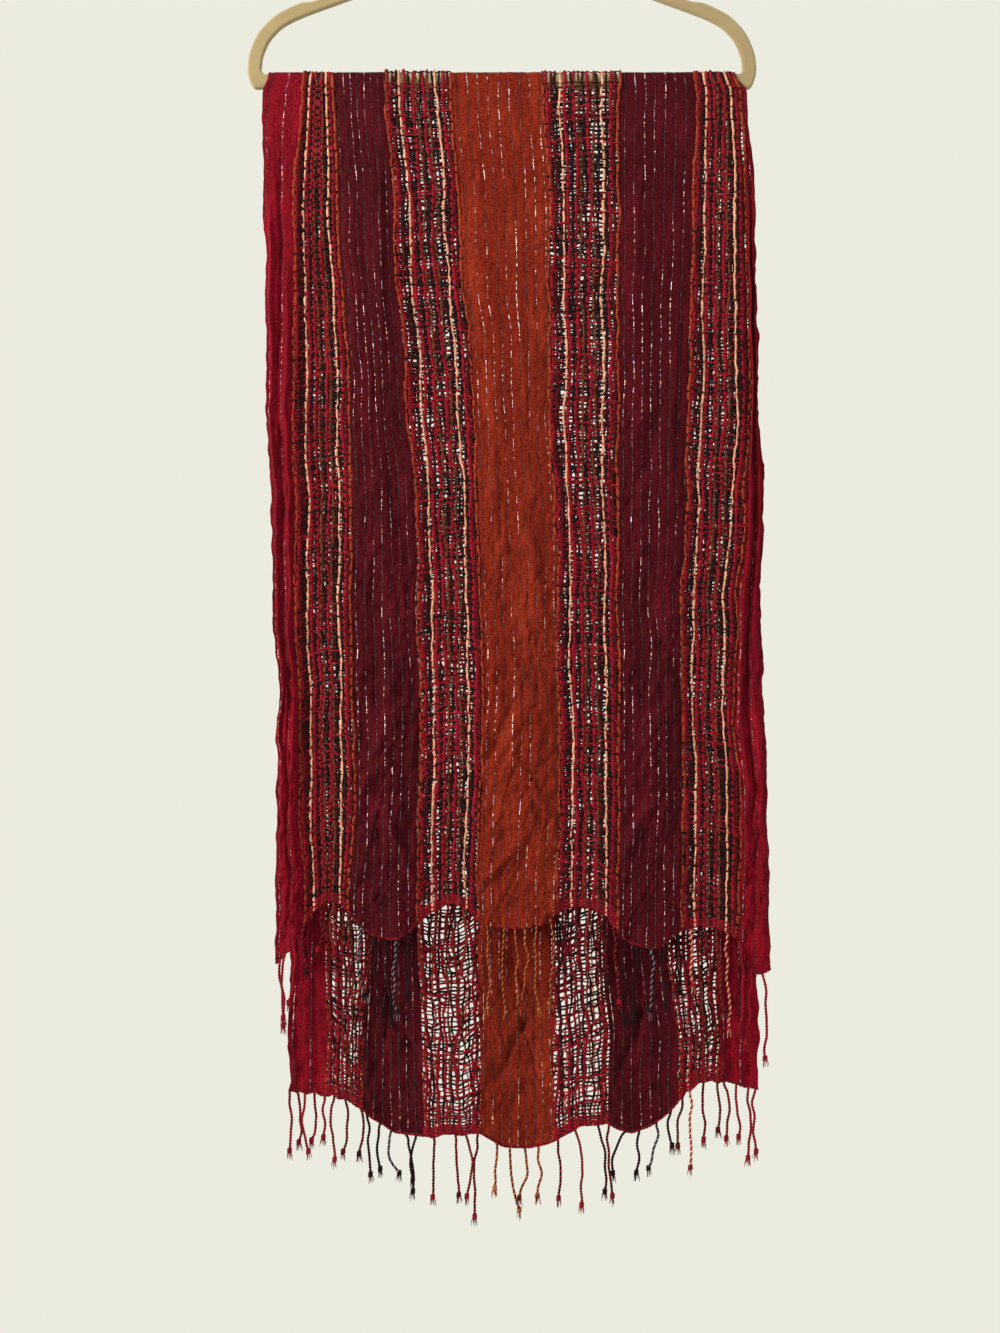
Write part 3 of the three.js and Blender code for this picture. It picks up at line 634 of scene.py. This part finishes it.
# Soft cotton and viscose yarn: matt and a little hairy, twisted, its dye uneven.
def yarnMaterial(name):
    material, tree = newMaterial(name)
    dye = addNode(tree, "ShaderNodeAttribute", {"attribute_name": "yarnColour"})
    place = addNode(tree, "ShaderNodeTexCoord").outputs["Object"]
    # fibres of 0.02 mm, drawn as tufts of 1.1 mm so that they show, with painted shade in their hollows and
    # painted light on their tops, and dye that has taken unevenly
    fibres = addNode(tree, "ShaderNodeTexNoise", {"Scale": 1 / (1.1111 * mm), "Detail": 2.0, "Vector": place})
    patches = addNode(tree, "ShaderNodeTexNoise", {"Scale": 1 / (11.11 * mm), "Detail": 2.0, "Vector": place})
    # the colour follows the fibre bump: painted shade where it is low, painted light where it is high
    depth = addNode(tree, "ShaderNodeMapRange",
                    {"From Min": 0.3, "From Max": 0.7, "To Min": 0.5, "To Max": 1.25, "Value": fibres})
    tone = addNode(tree, "ShaderNodeMapRange",
                   {"From Min": 0.3, "From Max": 0.7, "To Min": 0.7, "To Max": 1.15, "Value": patches})
    both = addNode(tree, "ShaderNodeMath", {"operation": "MULTIPLY", 0: depth, 1: tone})
    colour = addNode(tree, "ShaderNodeVectorMath",
                     {"operation": "SCALE", 0: dye.outputs["Color"], "Scale": both})
    bump = addNode(tree, "ShaderNodeBump", {"Strength": 0.4, "Distance": 0.3 * mm, "Height": fibres})
    shader = addNode(tree, "ShaderNodeBsdfPrincipled", {
        "Base Color": colour, "Normal": bump, "Roughness": 0.9, "Sheen Weight": 0.05, "Sheen Roughness": 0.4,
        "Specular IOR Level": 0.1})
    addNode(tree, "ShaderNodeOutputMaterial", {"Surface": shader})
    return material


softYarn = yarnMaterial("soft dyed yarn")
yarnColours = {name: linearColour(code) for name, code in {
    "crimson": "#800b1e", "black": "#1e070a", "peach": "#d0967a", "orange": "#88341a",
    "brown": "#603020", "plum": "#34080f", "rust": "#74240f", "deepRed": "#4c040c", "silver": "#6d666e",
    "gold": "#a4643a"}.items()}

# Net: thick coloured warps with thinner wefts woven over and under them.
net = {
    "weftPitch": 3.1,
    "weftRadius": 0.78,
    "warpThickness": 1.6,
    "depth": 0.38,  # how deep a pressed yarn is, as a share of its width
    "ride": 0.7,  # how far a yarn rides over another
    "unevenness": 0.32,  # share by which yarns swell and thin
    "kink": 0.8,  # how far every yarn strays from its line
    "kinkLength": 5.0,
    "loop": 2.6,  # how far some warps stand off the bar's top
    "loopHalf": 0.35,  # half the run that a loop takes
    "openAtBar": 14.0,  # over the bar and this far down each side, two wefts in three have slipped away
    "pitchSpread": 0.75,  # wefts crowd and part by this share of their pitch
    "weftPast": 0.012,  # share of the stripe's width by which a weft passes its edges
    "weftSag": 1.7,
    "weftDroop": 5.0,  # wefts bow up or down together
    "weftSlant": 11.0,  # and slope, from one edge of the stripe to the other
    "weftHang": 4.5,  # low in a drop they hang this far between the edges
    "hangBetween": (0.55, 0.8),  # from this run off the bar's top to this one, where the hem is at 1.5
    "warpStray": 1.5,
    "behind": (1.95, 2.15),  # between these runs the cloth passes over to the back drop's looser yarns
    "backWeftRadius": 0.9,
    "backWarpThickness": 1.42,
    "backWarpStray": 2.6,
    "peachHidden": 0.8,  # in the back drop crimson fibres hide the peach warps here and there, by this share
    "hemWefts": 6,  # crimson wefts beaten close together at each hem
    "hemPitch": 1.4,
    "hemInset": 0.8,  # the first one's distance from the hem, as a share of that pitch
    "hemBand": 9.0,
}
# share across the stripe, yarn, diameter
netWarps = [
    (0.010, "orange", 1.5), (0.055, "crimson", 2.0), (0.105, "deepRed", 1.7), (0.165, "black", 1.4),
    (0.225, "peach", 1.25), (0.285, "crimson", 2.0), (0.345, "black", 1.4), (0.405, "crimson", 1.9),
    (0.465, "brown", 1.5), (0.530, "black", 1.4), (0.590, "crimson", 2.0), (0.650, "brown", 1.4),
    (0.710, "black", 1.4), (0.775, "peach", 1.2), (0.830, "black", 1.4), (0.885, "crimson", 2.0),
    (0.940, "deepRed", 1.8), (0.990, "orange", 1.5),
]


def weftRuns(stripe):
    turn = math.pi * hang["turnRadius"]
    total = frontLength + turn + backLength
    along = np.arange(net["hemBand"] + 1, total - net["hemBand"], net["weftPitch"])
    along = np.sort(along + net["pitchSpread"] * net["weftPitch"] * softNoise(along / 9, 0.0, 30 + stripe))
    atHem = net["hemPitch"] * (np.arange(net["hemWefts"]) + net["hemInset"])
    along = np.concatenate([atHem, along, total - atHem[::-1]])
    fromBar = np.abs(along - frontLength - turn / 2)
    kept = (fromBar > net["openAtBar"]) | (np.arange(len(along)) % 3 == 0)
    return np.interp(along[kept], [0, frontLength, frontLength + turn, total], [0, 1, 2, 3])


# peach and orange warps float over two wefts and pass under the third, the others go over one and under one
def warpIsOver(weft, warp):
    floats = np.array([yarn in ("peach", "orange") for _, yarn, _ in netWarps])[warp]
    return np.where(floats, (weft + warp) % 3 != 0, (weft + warp) % 2 == 0)


def netStripe(stripe):
    runs = weftRuns(stripe)
    width = cutWidths[stripe]
    wefts = np.arange(len(runs))
    ends = np.concatenate([[0], runs, [3]])
    lines = []
    for k, (share, yarn, diameter) in enumerate(netWarps):
        ride = np.concatenate([[0], np.where(warpIsOver(wefts, k), 1, -1) * net["ride"], [0]])
        along = alongCloth(stripe, share, ends)
        stray = softNoise(k * 2.3 + stripe, along / 30, 31) + 0.6 * softNoise(k * 5.1, along / 7, 35)
        loop = net["loop"] * max(0.0, float(softNoise(k * 1.7, stripe, 39)))
        ride += loop * np.exp(-((ends - 1.5 - 0.3 * softNoise(k, 0.5, 41)) / net["loopHalf"]) ** 2)
        behind = smoothStep(ends, *net["behind"])
        reach = mix(net["warpStray"], net["backWarpStray"], behind)
        points = clothPoints(stripe, share + reach * stray / width, ends, ride)
        swell = 1 + net["unevenness"] * softNoise(along / 9, k, 32)
        thickness = mix(net["warpThickness"], net["backWarpThickness"], behind)
        dye = np.tile(yarnColours[yarn], (len(ends), 1))
        if yarn == "peach":
            hidden = behind * smoothStep(softNoise(along / 24, k, 42), -0.5, 0.3)
            dye = mix(dye, np.array(yarnColours["crimson"]), net["peachHidden"] * hidden[:, None])
        lines.append((points, diameter / 2 * thickness * swell, dye))
    shares = np.array([-net["weftPast"]] + [share for share, _, _ in netWarps] + [1 + net["weftPast"]])
    for n, run in enumerate(runs):
        over = np.where(warpIsOver(n, np.arange(len(netWarps))), -1, 1) * net["ride"]
        ride = np.concatenate([[0], over, [0]])
        behind = smoothStep(run, *net["behind"])
        low = net["weftHang"] * (1 if run > 1.5 else -1) * smoothStep(abs(run - 1.5), *net["hangBetween"])
        bow = net["weftDroop"] * softNoise(n / 9, 0.5, 37 + stripe) + low
        droop = bow * 4 * shares * (1 - shares)
        slant = net["weftSlant"] * softNoise(n / 13, 0.5, 38 + stripe) * (shares - 0.5)
        kink = net["weftSag"] * softNoise(shares * 8 + n * 3.7, n * 0.61, 33 + stripe)
        fromHem = min(run * frontLength, (3 - run) * backLength)
        sag = (kink + droop + slant) * smoothStep(fromHem, net["hemBand"], 4 * net["hemBand"]) / frontLength
        points = clothPoints(stripe, shares, np.clip(run + sag, 0, 3), ride)
        dark = softNoise(n, 0.0, 34 + stripe)
        yarn = "crimson" if dark > 0.2 or fromHem < net["hemBand"] else "deepRed" if dark > -0.4 else "black"
        swell = 1 + net["unevenness"] * softNoise(shares * 9, n, 36)
        radius = mix(net["weftRadius"], net["backWeftRadius"], behind)
        lines.append((points, radius * swell, yarnColours[yarn]))
    return yarnPiece(stripeNames[stripe], lines, softYarn, 4, net["kink"], net["kinkLength"], 40 + stripe,
                     net["depth"])


# Fringe: twisted two-ply strands looped through a corded hem, each with a knot and a tuft.
fringe = {
    "hemRadius": 0.85,  # each of the hem's two cords
    "hemTwist": 7.0,  # length of one turn
    "hemOff": 0.55,  # from the hem's middle to the middle of a cord
    "hemRaise": 0.3,
    "plyRadius": 0.78,  # each of a strand's two plies
    "plyOff": 0.62,
    "twist": 5.2,
    "slim": 0.72,  # the strands on the rust stripe's front hem are thinner by this share
    "pointStep": 1.1,
    "bendAt": 0.48,  # share of the length at which a strand bends
    "waver": 1.7,  # how far it wavers beside that
    "waverLength": 13,
    "away": 2.4,  # how far the strands hang off the cloth
    "apart": 2.6,  # and every other one further still
    "knotAbove": 8.0,  # the knot's place above the strand's end
    "knotRadius": 1.4,
    "knotYarn": 0.95,  # radius of the yarn that is wound round the knot
    "knotTurns": 2.6,
    "knotPitch": 1.4,
    "knotTop": 1.2,
    "tuftFibres": 7,
    "tuftReach": 1.4,
    "tuftRadii": (0.42, 0.36, 0.2),
}
# x of the root, how far the strand bends to the right at its middle and at its end, its length
frontStrands = [
    [-193, 2, 4, 64], [-188, -1, -2, 62], [-181, 1.5, -5, 58], [-170, -2, 2, 50], [-158, 1.5, -3, 46],
    [-146, -2, 1, 50], [-134, 2, 4, 58], [-122, -1.5, 6, 66], [-111, 2, 9, 72], [-101, 3, 6, 78],
    [-92, -2, 1, 70], [-82, 2, -4, 60], [-70, -2, 2, 54], [-58, 1.5, -1, 58], [-46, -2, 3, 56],
    [-34, 2, -2, 62], [-23, -1.5, 2, 66], [-13, 2, 1, 78], [2, -2, 2, 80], [11, 2, 1, 74],
    [20, 1.5, -2, 62], [30, -2, 2, 79], [42, 2, -2, 80], [53, -1, 1, 58], [64, 2, 3, 52], [76, -2, -3, 56],
    [88, 2, 5, 64], [97, 2, 6, 72], [107, -2, 1, 78], [117, -2, -5, 70], [129, 2, -2, 62], [141, -2, 2, 58],
    [153, 2, -2, 56], [165, -2, 3, 56], [176, 2, 8, 66], [186, 2, 8, 78], [196, -1, 4, 90],
    [206, 2, -1, 80], [216, -2, -4, 72], [226, 2, 1, 80],
]
backStrands = [
    [-187, 1, -1, 62], [-181, 4, -3, 54], [-173, -2.5, 7, 60], [-166, 1.6, -6, 52], [-156, -1.2, 0.6, 45],
    [-147, -3.7, 0.6, 66], [-138, 1.6, -4.7, 55], [-125, 3, -2, 50], [-119, 2.2, 3.7, 62],
    [-107, -2.5, 2, 50], [-97, -3.1, 13, 46], [-85, 6.2, 3.1, 60], [-75, -5.3, -2.2, 48],
    [-60, 0.9, -2.2, 62], [-41, 2.5, 1.9, 62], [-32, 4.7, 0, 64], [-21, -3.7, -3.1, 82],
    [-5, 0.5, -3.1, 50], [7, 1.6, 11, 64], [20, 0.9, -8, 54], [32, 1.6, -0.9, 53], [49, 1.6, 0.6, 62],
    [64, 6.2, 5.6, 75], [84, 6.2, 5, 68], [94, 0.5, 4.7, 72], [109, -9, -12, 46], [121, -0.9, -3, 46],
    [136, -0.9, -12, 50], [149, -1.6, 3.1, 40], [160, -3.7, -5, 55], [165, 1.6, 0.5, 77],
    [177, 0.5, 0.9, 60], [189, 3.1, -1.6, 50], [195, 4.7, 1.6, 60], [206, 1.6, 3.7, 55], [217, 1.6, 1, 72],
    [223, -1.6, 0.5, 64],
]
# the yarns a strand is plied from, by the stripe it hangs from
strandYarns = {
    0: [("crimson", "crimson")],
    1: [("crimson", "black"), ("crimson", "brown"), ("deepRed", "brown"), ("black", "crimson")],
    2: [("black", "black"), ("black", "silver"), ("black", "plum")],
    3: [("crimson", "brown"), ("crimson", "black"), ("deepRed", "crimson")],
    4: [("rust", "gold"), ("gold", "rust"), ("gold", "deepRed"), ("rust", "gold")],
    5: [("crimson", "black"), ("crimson", "brown"), ("black", "deepRed")],
    6: [("black", "silver"), ("black", "plum"), ("black", "black")],
    7: [("crimson", "peach"), ("crimson", "black"), ("deepRed", "brown")],
    8: [("crimson", "crimson")],
}


def hemPoints(drop, run):
    shares = np.linspace(0, 1, 24, endpoint=False)
    parts = [clothPoints(stripe, shares, run) for stripe in range(9)]
    return np.concatenate(parts + [clothPoints(8, np.array([1.0]), run)])


def twisted(points, turns, off, phase):
    step = np.linalg.norm(np.diff(points, axis=0), axis=1)
    travel = np.concatenate([[0], np.cumsum(step)])
    angle = 2 * math.pi * travel / turns + phase
    along = np.gradient(points, axis=0)
    along /= np.linalg.norm(along, axis=1)[:, None]
    sideways = np.cross(along, [0.0, 1.0, 0.0])
    sideways /= np.linalg.norm(sideways, axis=1)[:, None]
    outward = np.cross(along, sideways)
    return points + off * (np.cos(angle)[:, None] * sideways + np.sin(angle)[:, None] * outward)


def strandLines(drop, root, row, k):
    x, bend, end, length = row
    stripe = int(np.clip(np.searchsorted(drop["sections"][-1, 1:], x) - 1, 0, 8))
    plies = strandYarns[stripe][k % len(strandYarns[stripe])]
    slim = fringe["slim"] if stripe == 4 and drop is front else 1.0
    knotShare = 1 - fringe["knotAbove"] / length
    share = np.linspace(0, knotShare, int(length * knotShare / fringe["pointStep"]))
    at = fringe["bendAt"]
    sideways = bend * share * (1 - share) / (at * (1 - at)) + end * share * (share - at) / (1 - at)
    waver = fringe["waver"] * softNoise(share * length / fringe["waverLength"], k, 51)
    sideways += waver * smoothStep(share, 0, 0.2)
    away = (fringe["away"] + (k % 2) * fringe["apart"]) * smoothStep(share, 0, 0.1)
    middle = root + np.stack([sideways, drop["side"] * away, -share * length], axis=-1)
    lines = [(twisted(middle, fringe["twist"], fringe["plyOff"] * slim, ply * math.pi),
              fringe["plyRadius"] * slim, yarnColours[yarn]) for ply, yarn in enumerate(plies)]
    knot = middle[-1]
    turns = np.linspace(0, fringe["knotTurns"], 30)
    ring = fringe["knotRadius"] * np.stack([np.cos(2 * math.pi * turns), np.sin(2 * math.pi * turns)])
    coil = np.stack([*ring, fringe["knotTop"] - turns * fringe["knotPitch"]], axis=-1)
    lines.append((knot + slim * coil, fringe["knotYarn"] * slim, yarnColours[plies[0]]))
    for fibre in range(fringe["tuftFibres"]):
        angle = fibre * 2.4 + k
        reach = fringe["tuftReach"] + 1.8 * (fibre % 3) / 2
        drops = np.array([1.5, 4.0, fringe["knotAbove"] - 1.5 + (fibre * 1.7) % 3])
        spread = np.array([0.4, 0.8, 1.0]) * reach
        tuft = knot + np.stack([spread * math.cos(angle), spread * math.sin(angle), -drops], axis=-1)
        lines.append((tuft, np.array(fringe["tuftRadii"]), yarnColours[plies[fibre % 2]]))
    return lines


def fringePiece(name, drop, strands, run):
    hem = hemPoints(drop, run)
    hem[:, 2] += fringe["hemRaise"]
    lines = [(twisted(hem, fringe["hemTwist"], fringe["hemOff"], ply * math.pi), fringe["hemRadius"],
              yarnColours[yarn]) for ply, yarn in enumerate(("deepRed", "crimson"))]
    for k, row in enumerate(strands):
        root = np.array([row[0], *(np.interp(row[0], hem[:, 0], hem[:, axis]) for axis in (1, 2))])
        lines += strandLines(drop, root, row, k)
    return yarnPiece(name, lines, softYarn, 5, seed=60)


# Hanger: slim flocked plastic frame with a bar, and a bent wire hook.
hanger = {
    "width": 445.0,
    "thick": 5.5,
    "barDeep": 12.5,
    "openingTall": 112.0,
    "neckWide": 20.0,
    "neckTall": 8.0,
    "edgeRound": 2.2,
    "barTop": -194.5,  # the bar's top edge, counted from the inside top of the hook
    "notchDeep": 2.6,  # strap notches in the shoulders
    "notchAt": (0.58, 0.63, 0.69, 0.74),  # where one starts, is full, is full still and ends, as shares
    "hookInside": 20.0,
    "hookAngles": (-0.6, 3.5),  # from the wire's tip round to the stem
    "wire": 4.0,
    "stemLength": 62.0,
}


def catmull(points, count):
    points = np.array(points, float)
    padded = np.concatenate([[2 * points[0] - points[1]], points, [2 * points[-1] - points[-2]]])
    place = np.linspace(0, len(points) - 1, count)
    first = np.minimum(place.astype(int), len(points) - 2)
    t = (place - first)[:, None]
    a, b, c, d = (padded[first + k] for k in range(4))
    square, cube = 2 * a - 5 * b + 4 * c - d, 3 * b - a - 3 * c + d
    return 0.5 * (2 * b + (c - a) * t + square * t ** 2 + cube * t ** 3)


def hangerOutlines():
    deep, tall = hanger["barDeep"], hanger["openingTall"]
    reach = hanger["width"] / 2 - deep
    corners = [(0, 1), (0.28, 0.835), (0.6, 0.6), (0.86, 0.415), (0.95, 0.29), (0.99, 0.15), (1, 0.035)]
    inner = catmull([(reach * a, tall * b) for a, b in corners], 120)
    along = np.gradient(inner, axis=0)
    along /= np.linalg.norm(along, axis=1)[:, None]
    steps = np.linalg.norm(np.diff(inner, axis=0), axis=1)
    share = np.concatenate([[0], np.cumsum(steps)]) / steps.sum()
    start, full, fullStill, over = hanger["notchAt"]
    notch = hanger["notchDeep"] * smoothStep(share, start, full) * (1 - smoothStep(share, fullStill, over))
    outer = inner + np.stack([-along[:, 1], along[:, 0]], axis=-1) * (deep - notch)[:, None]
    outer = outer[outer[:, 0] > hanger["neckWide"] / 2]
    end = outer[-1]
    curl = catmull([outer[-2], end, (end[0] - 0.8, end[1] - 8), (end[0] - 5.0, -deep + 0.4),
                    (end[0] - 13, -deep - 0.6), (end[0] - 30, -deep)], 34)[8:]
    top = tall + deep + hanger["neckTall"]
    neck = [(hanger["neckWide"] / 2 - 2, top), (hanger["neckWide"] / 2, top - 3)]
    right = np.concatenate([neck, outer, curl])
    rightHole = np.concatenate([inner[1:], [(inner[-1, 0] - 0.8, 1.4), (inner[-1, 0] - 3, 0)]])
    flip = np.array([-1, 1])
    outline = np.concatenate([right, (right * flip)[::-1]])
    hole = np.concatenate([[(0, tall)], rightHole, (rightHole * flip)[::-1]])
    return outline, hole


def hangerPiece(material):
    curve = bpy.data.curves.new("hanger outline", "CURVE")
    curve.dimensions = "2D"
    curve.fill_mode = "BOTH"
    curve.extrude = (hanger["thick"] / 2 - hanger["edgeRound"]) * mm
    curve.bevel_depth = hanger["edgeRound"] * mm
    curve.bevel_resolution = 3
    curve.offset = -hanger["edgeRound"] * mm
    for line in hangerOutlines():
        spline = curve.splines.new("POLY")
        spline.points.add(len(line) - 1)
        corners = np.column_stack([line * mm, np.zeros(len(line)), np.ones(len(line))])
        spline.points.foreach_set("co", corners.ravel())
        spline.use_cyclic_u = True
    flat = bpy.data.objects.new("hanger outline", curve)
    bpy.context.scene.collection.objects.link(flat)
    mesh = bpy.data.meshes.new_from_object(flat.evaluated_get(bpy.context.evaluated_depsgraph_get()))
    bpy.data.objects.remove(flat)
    mesh.transform(Matrix.Translation((0, 0, hanger["barTop"] * mm)) @ Matrix.Rotation(math.pi / 2, 4, "X"))
    mesh.polygons.foreach_set("use_smooth", [True] * len(mesh.polygons))
    return addPiece("hangerFrame", mesh, material)


def hookPiece(material):
    radius = hanger["hookInside"] + hanger["wire"] / 2
    angles = np.linspace(*hanger["hookAngles"], 9)
    bend = [(radius * math.cos(a), 0, radius * math.sin(a) - hanger["hookInside"]) for a in angles]
    stem = [(-radius * 0.42, 0, -hanger["hookInside"] * 2.15), (0, 0, -hanger["hookInside"] * 2.6),
            (0, 0, -hanger["stemLength"] + 0.3)]
    line = catmull(bend + stem, 110)
    return yarnPiece("hangerHook", [(line, hanger["wire"] / 2, [0.8, 0.8, 0.8, 1.0])], material, 16)


# Short nylon flock glued over plastic: quite matt, soft at glancing angles, speckled.
def flockMaterial():
    material, tree = newMaterial("beige flock")
    place = addNode(tree, "ShaderNodeTexCoord").outputs["Object"]
    # flock fibres of 0.5 mm in tufts, and patches where hands rub it
    grain = addNode(tree, "ShaderNodeTexNoise", {"Scale": 1 / (0.7143 * mm), "Detail": 2.0, "Vector": place})
    rubbed = addNode(tree, "ShaderNodeTexNoise", {"Scale": 1 / (33.33 * mm), "Detail": 3.0, "Vector": place})
    speck = addNode(tree, "ShaderNodeMix", {
        "data_type": "RGBA", 6: linearColour("#75643f"), 7: linearColour("#97865d"), 0: grain})
    worn = addNode(tree, "ShaderNodeMapRange",
                   {"From Min": 0.45, "From Max": 0.75, "To Min": 0.0, "To Max": 0.35, "Value": rubbed})
    colour = addNode(tree, "ShaderNodeMix", {
        "data_type": "RGBA", 7: linearColour("#a29269"), 0: worn, 6: speck.outputs[2]})
    bump = addNode(tree, "ShaderNodeBump", {"Strength": 0.5, "Distance": 0.2 * mm, "Height": grain})
    shader = addNode(tree, "ShaderNodeBsdfPrincipled", {
        "Base Color": colour.outputs[2], "Normal": bump, "Roughness": 1.0, "Sheen Weight": 0.5,
        "Sheen Roughness": 0.6, "Specular IOR Level": 0.1})
    addNode(tree, "ShaderNodeOutputMaterial", {"Surface": shader})
    return material


# Nickel-plated steel wire, polished, with faint drawing marks.
def wireMaterial():
    material, tree = newMaterial("plated steel wire")
    place = addNode(tree, "ShaderNodeTexCoord").outputs["Object"]
    marks = addNode(tree, "ShaderNodeTexNoise", {"Scale": 1 / (2.0 * mm), "Detail": 3.0, "Vector": place})
    rough = addNode(tree, "ShaderNodeMapRange", {"To Min": 0.16, "To Max": 0.34, "Value": marks})
    shader = addNode(tree, "ShaderNodeBsdfPrincipled", {
        "Base Color": linearColour("#c9cbce"), "Metallic": 1.0, "Roughness": rough})
    addNode(tree, "ShaderNodeOutputMaterial", {"Surface": shader})
    return material


# The pieces, and what each stands for.
hangerFrame = hangerPiece(flockMaterial())
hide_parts("hanger_frame")
hangerHook = hookPiece(wireMaterial())
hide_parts("hanger_hook")
print("hanger made")

stripePieces = []
for stripe in range(9):
    piece = gauzeStripe(stripe) if stripe in gauzeMaterials else netStripe(stripe)
    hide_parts(*(f"{part}_{cadNames[stripe]}" for part in ("front", "turn", "back")))
    stripePieces.append(piece)
    print("stripe made:", piece.name)

frontFringe = fringePiece("frontFringe", front, frontStrands, 0.0)
backFringe = fringePiece("backFringe", back, backStrands, 3.0)
for piece, node in ((frontFringe, "front_fringe"), (backFringe, "back_fringe")):
    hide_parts(node)
print("fringes made")

for piece in [hangerFrame, hangerHook, frontFringe, backFringe, *stripePieces]:
    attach(piece, "root")

# Studio: a pale floor below the fringe, one large soft light from the upper left, weak ones from the right
# and from behind. Lengths here are metres.
studio = {
    "floorDrop": 1.52,
    "floorHalf": 0.45,
    "floor": "#a8a498",
    "world": "#ecebdf",
    "worldStrength": 1.0,
    "cameraAway": 1.2,
    "cameraCentre": (-0.0017, -0.7122),
    "lens": 37.07,
    "lightAim": (0, 0, -0.65),
}
# name, place, width and height, power, colour
studioLights = [
    ("key", (-2.0, -1.2, 0.3), (0.9, 0.9), 95, "#fff4e6"),
    ("fill", (1.6, -1.8, -0.4), (1.4, 1.6), 8, "#f4f2ff"),
    ("rear", (0.8, 2.0, 0.6), (1.4, 1.4), 14, "#fff8f0"),
]


# Painted board, smooth and quite matt, so that it gives no clear reflection.
def studioFloor():
    half, drop = studio["floorHalf"], -studio["floorDrop"]
    corners = [(-half, -half, drop), (half, -half, drop), (half, half, drop), (-half, half, drop)]
    mesh = bpy.data.meshes.new("floor")
    mesh.from_pydata(corners, [], [(0, 1, 2, 3)])
    material, tree = newMaterial("pale painted board")
    shader = addNode(tree, "ShaderNodeBsdfPrincipled", {
        "Base Color": linearColour(studio["floor"]), "Roughness": 0.9})
    addNode(tree, "ShaderNodeOutputMaterial", {"Surface": shader})
    addPiece("floor", mesh, material)


def softLight(name, place, size, power, colour):
    lamp = bpy.data.lights.new(name, "AREA")
    lamp.shape = "RECTANGLE"
    lamp.size, lamp.size_y = size
    lamp.energy = power
    lamp.color = linearColour(colour)[:3]
    lampObject = bpy.data.objects.new(name, lamp)
    bpy.context.scene.collection.objects.link(lampObject)
    aim = Vector(studio["lightAim"]) - Vector(place)
    lampObject.rotation_euler = aim.to_track_quat("-Z", "Y").to_euler()
    lampObject.location = place


studioFloor()
for light in studioLights:
    softLight(*light)

world = bpy.data.worlds.new("studio air")
bpy.context.scene.world = world
world.use_nodes = True
world.node_tree.nodes.clear()
air = addNode(world.node_tree, "ShaderNodeBackground",
              {"Color": linearColour(studio["world"]), "Strength": studio["worldStrength"]})
addNode(world.node_tree, "ShaderNodeOutputWorld", {"Surface": air})

camera = bpy.data.cameras.new("camera")
camera.lens = studio["lens"]
camera.sensor_width = 36
cameraObject = bpy.data.objects.new("camera", camera)
bpy.context.scene.collection.objects.link(cameraObject)
centreX, centreZ = studio["cameraCentre"]
cameraObject.location = (centreX, -studio["cameraAway"], centreZ)
cameraObject.rotation_euler = (math.pi / 2, 0, 0)
bpy.context.scene.camera = cameraObject
bpy.context.scene.view_settings.view_transform = "Standard"
print("studio ready")
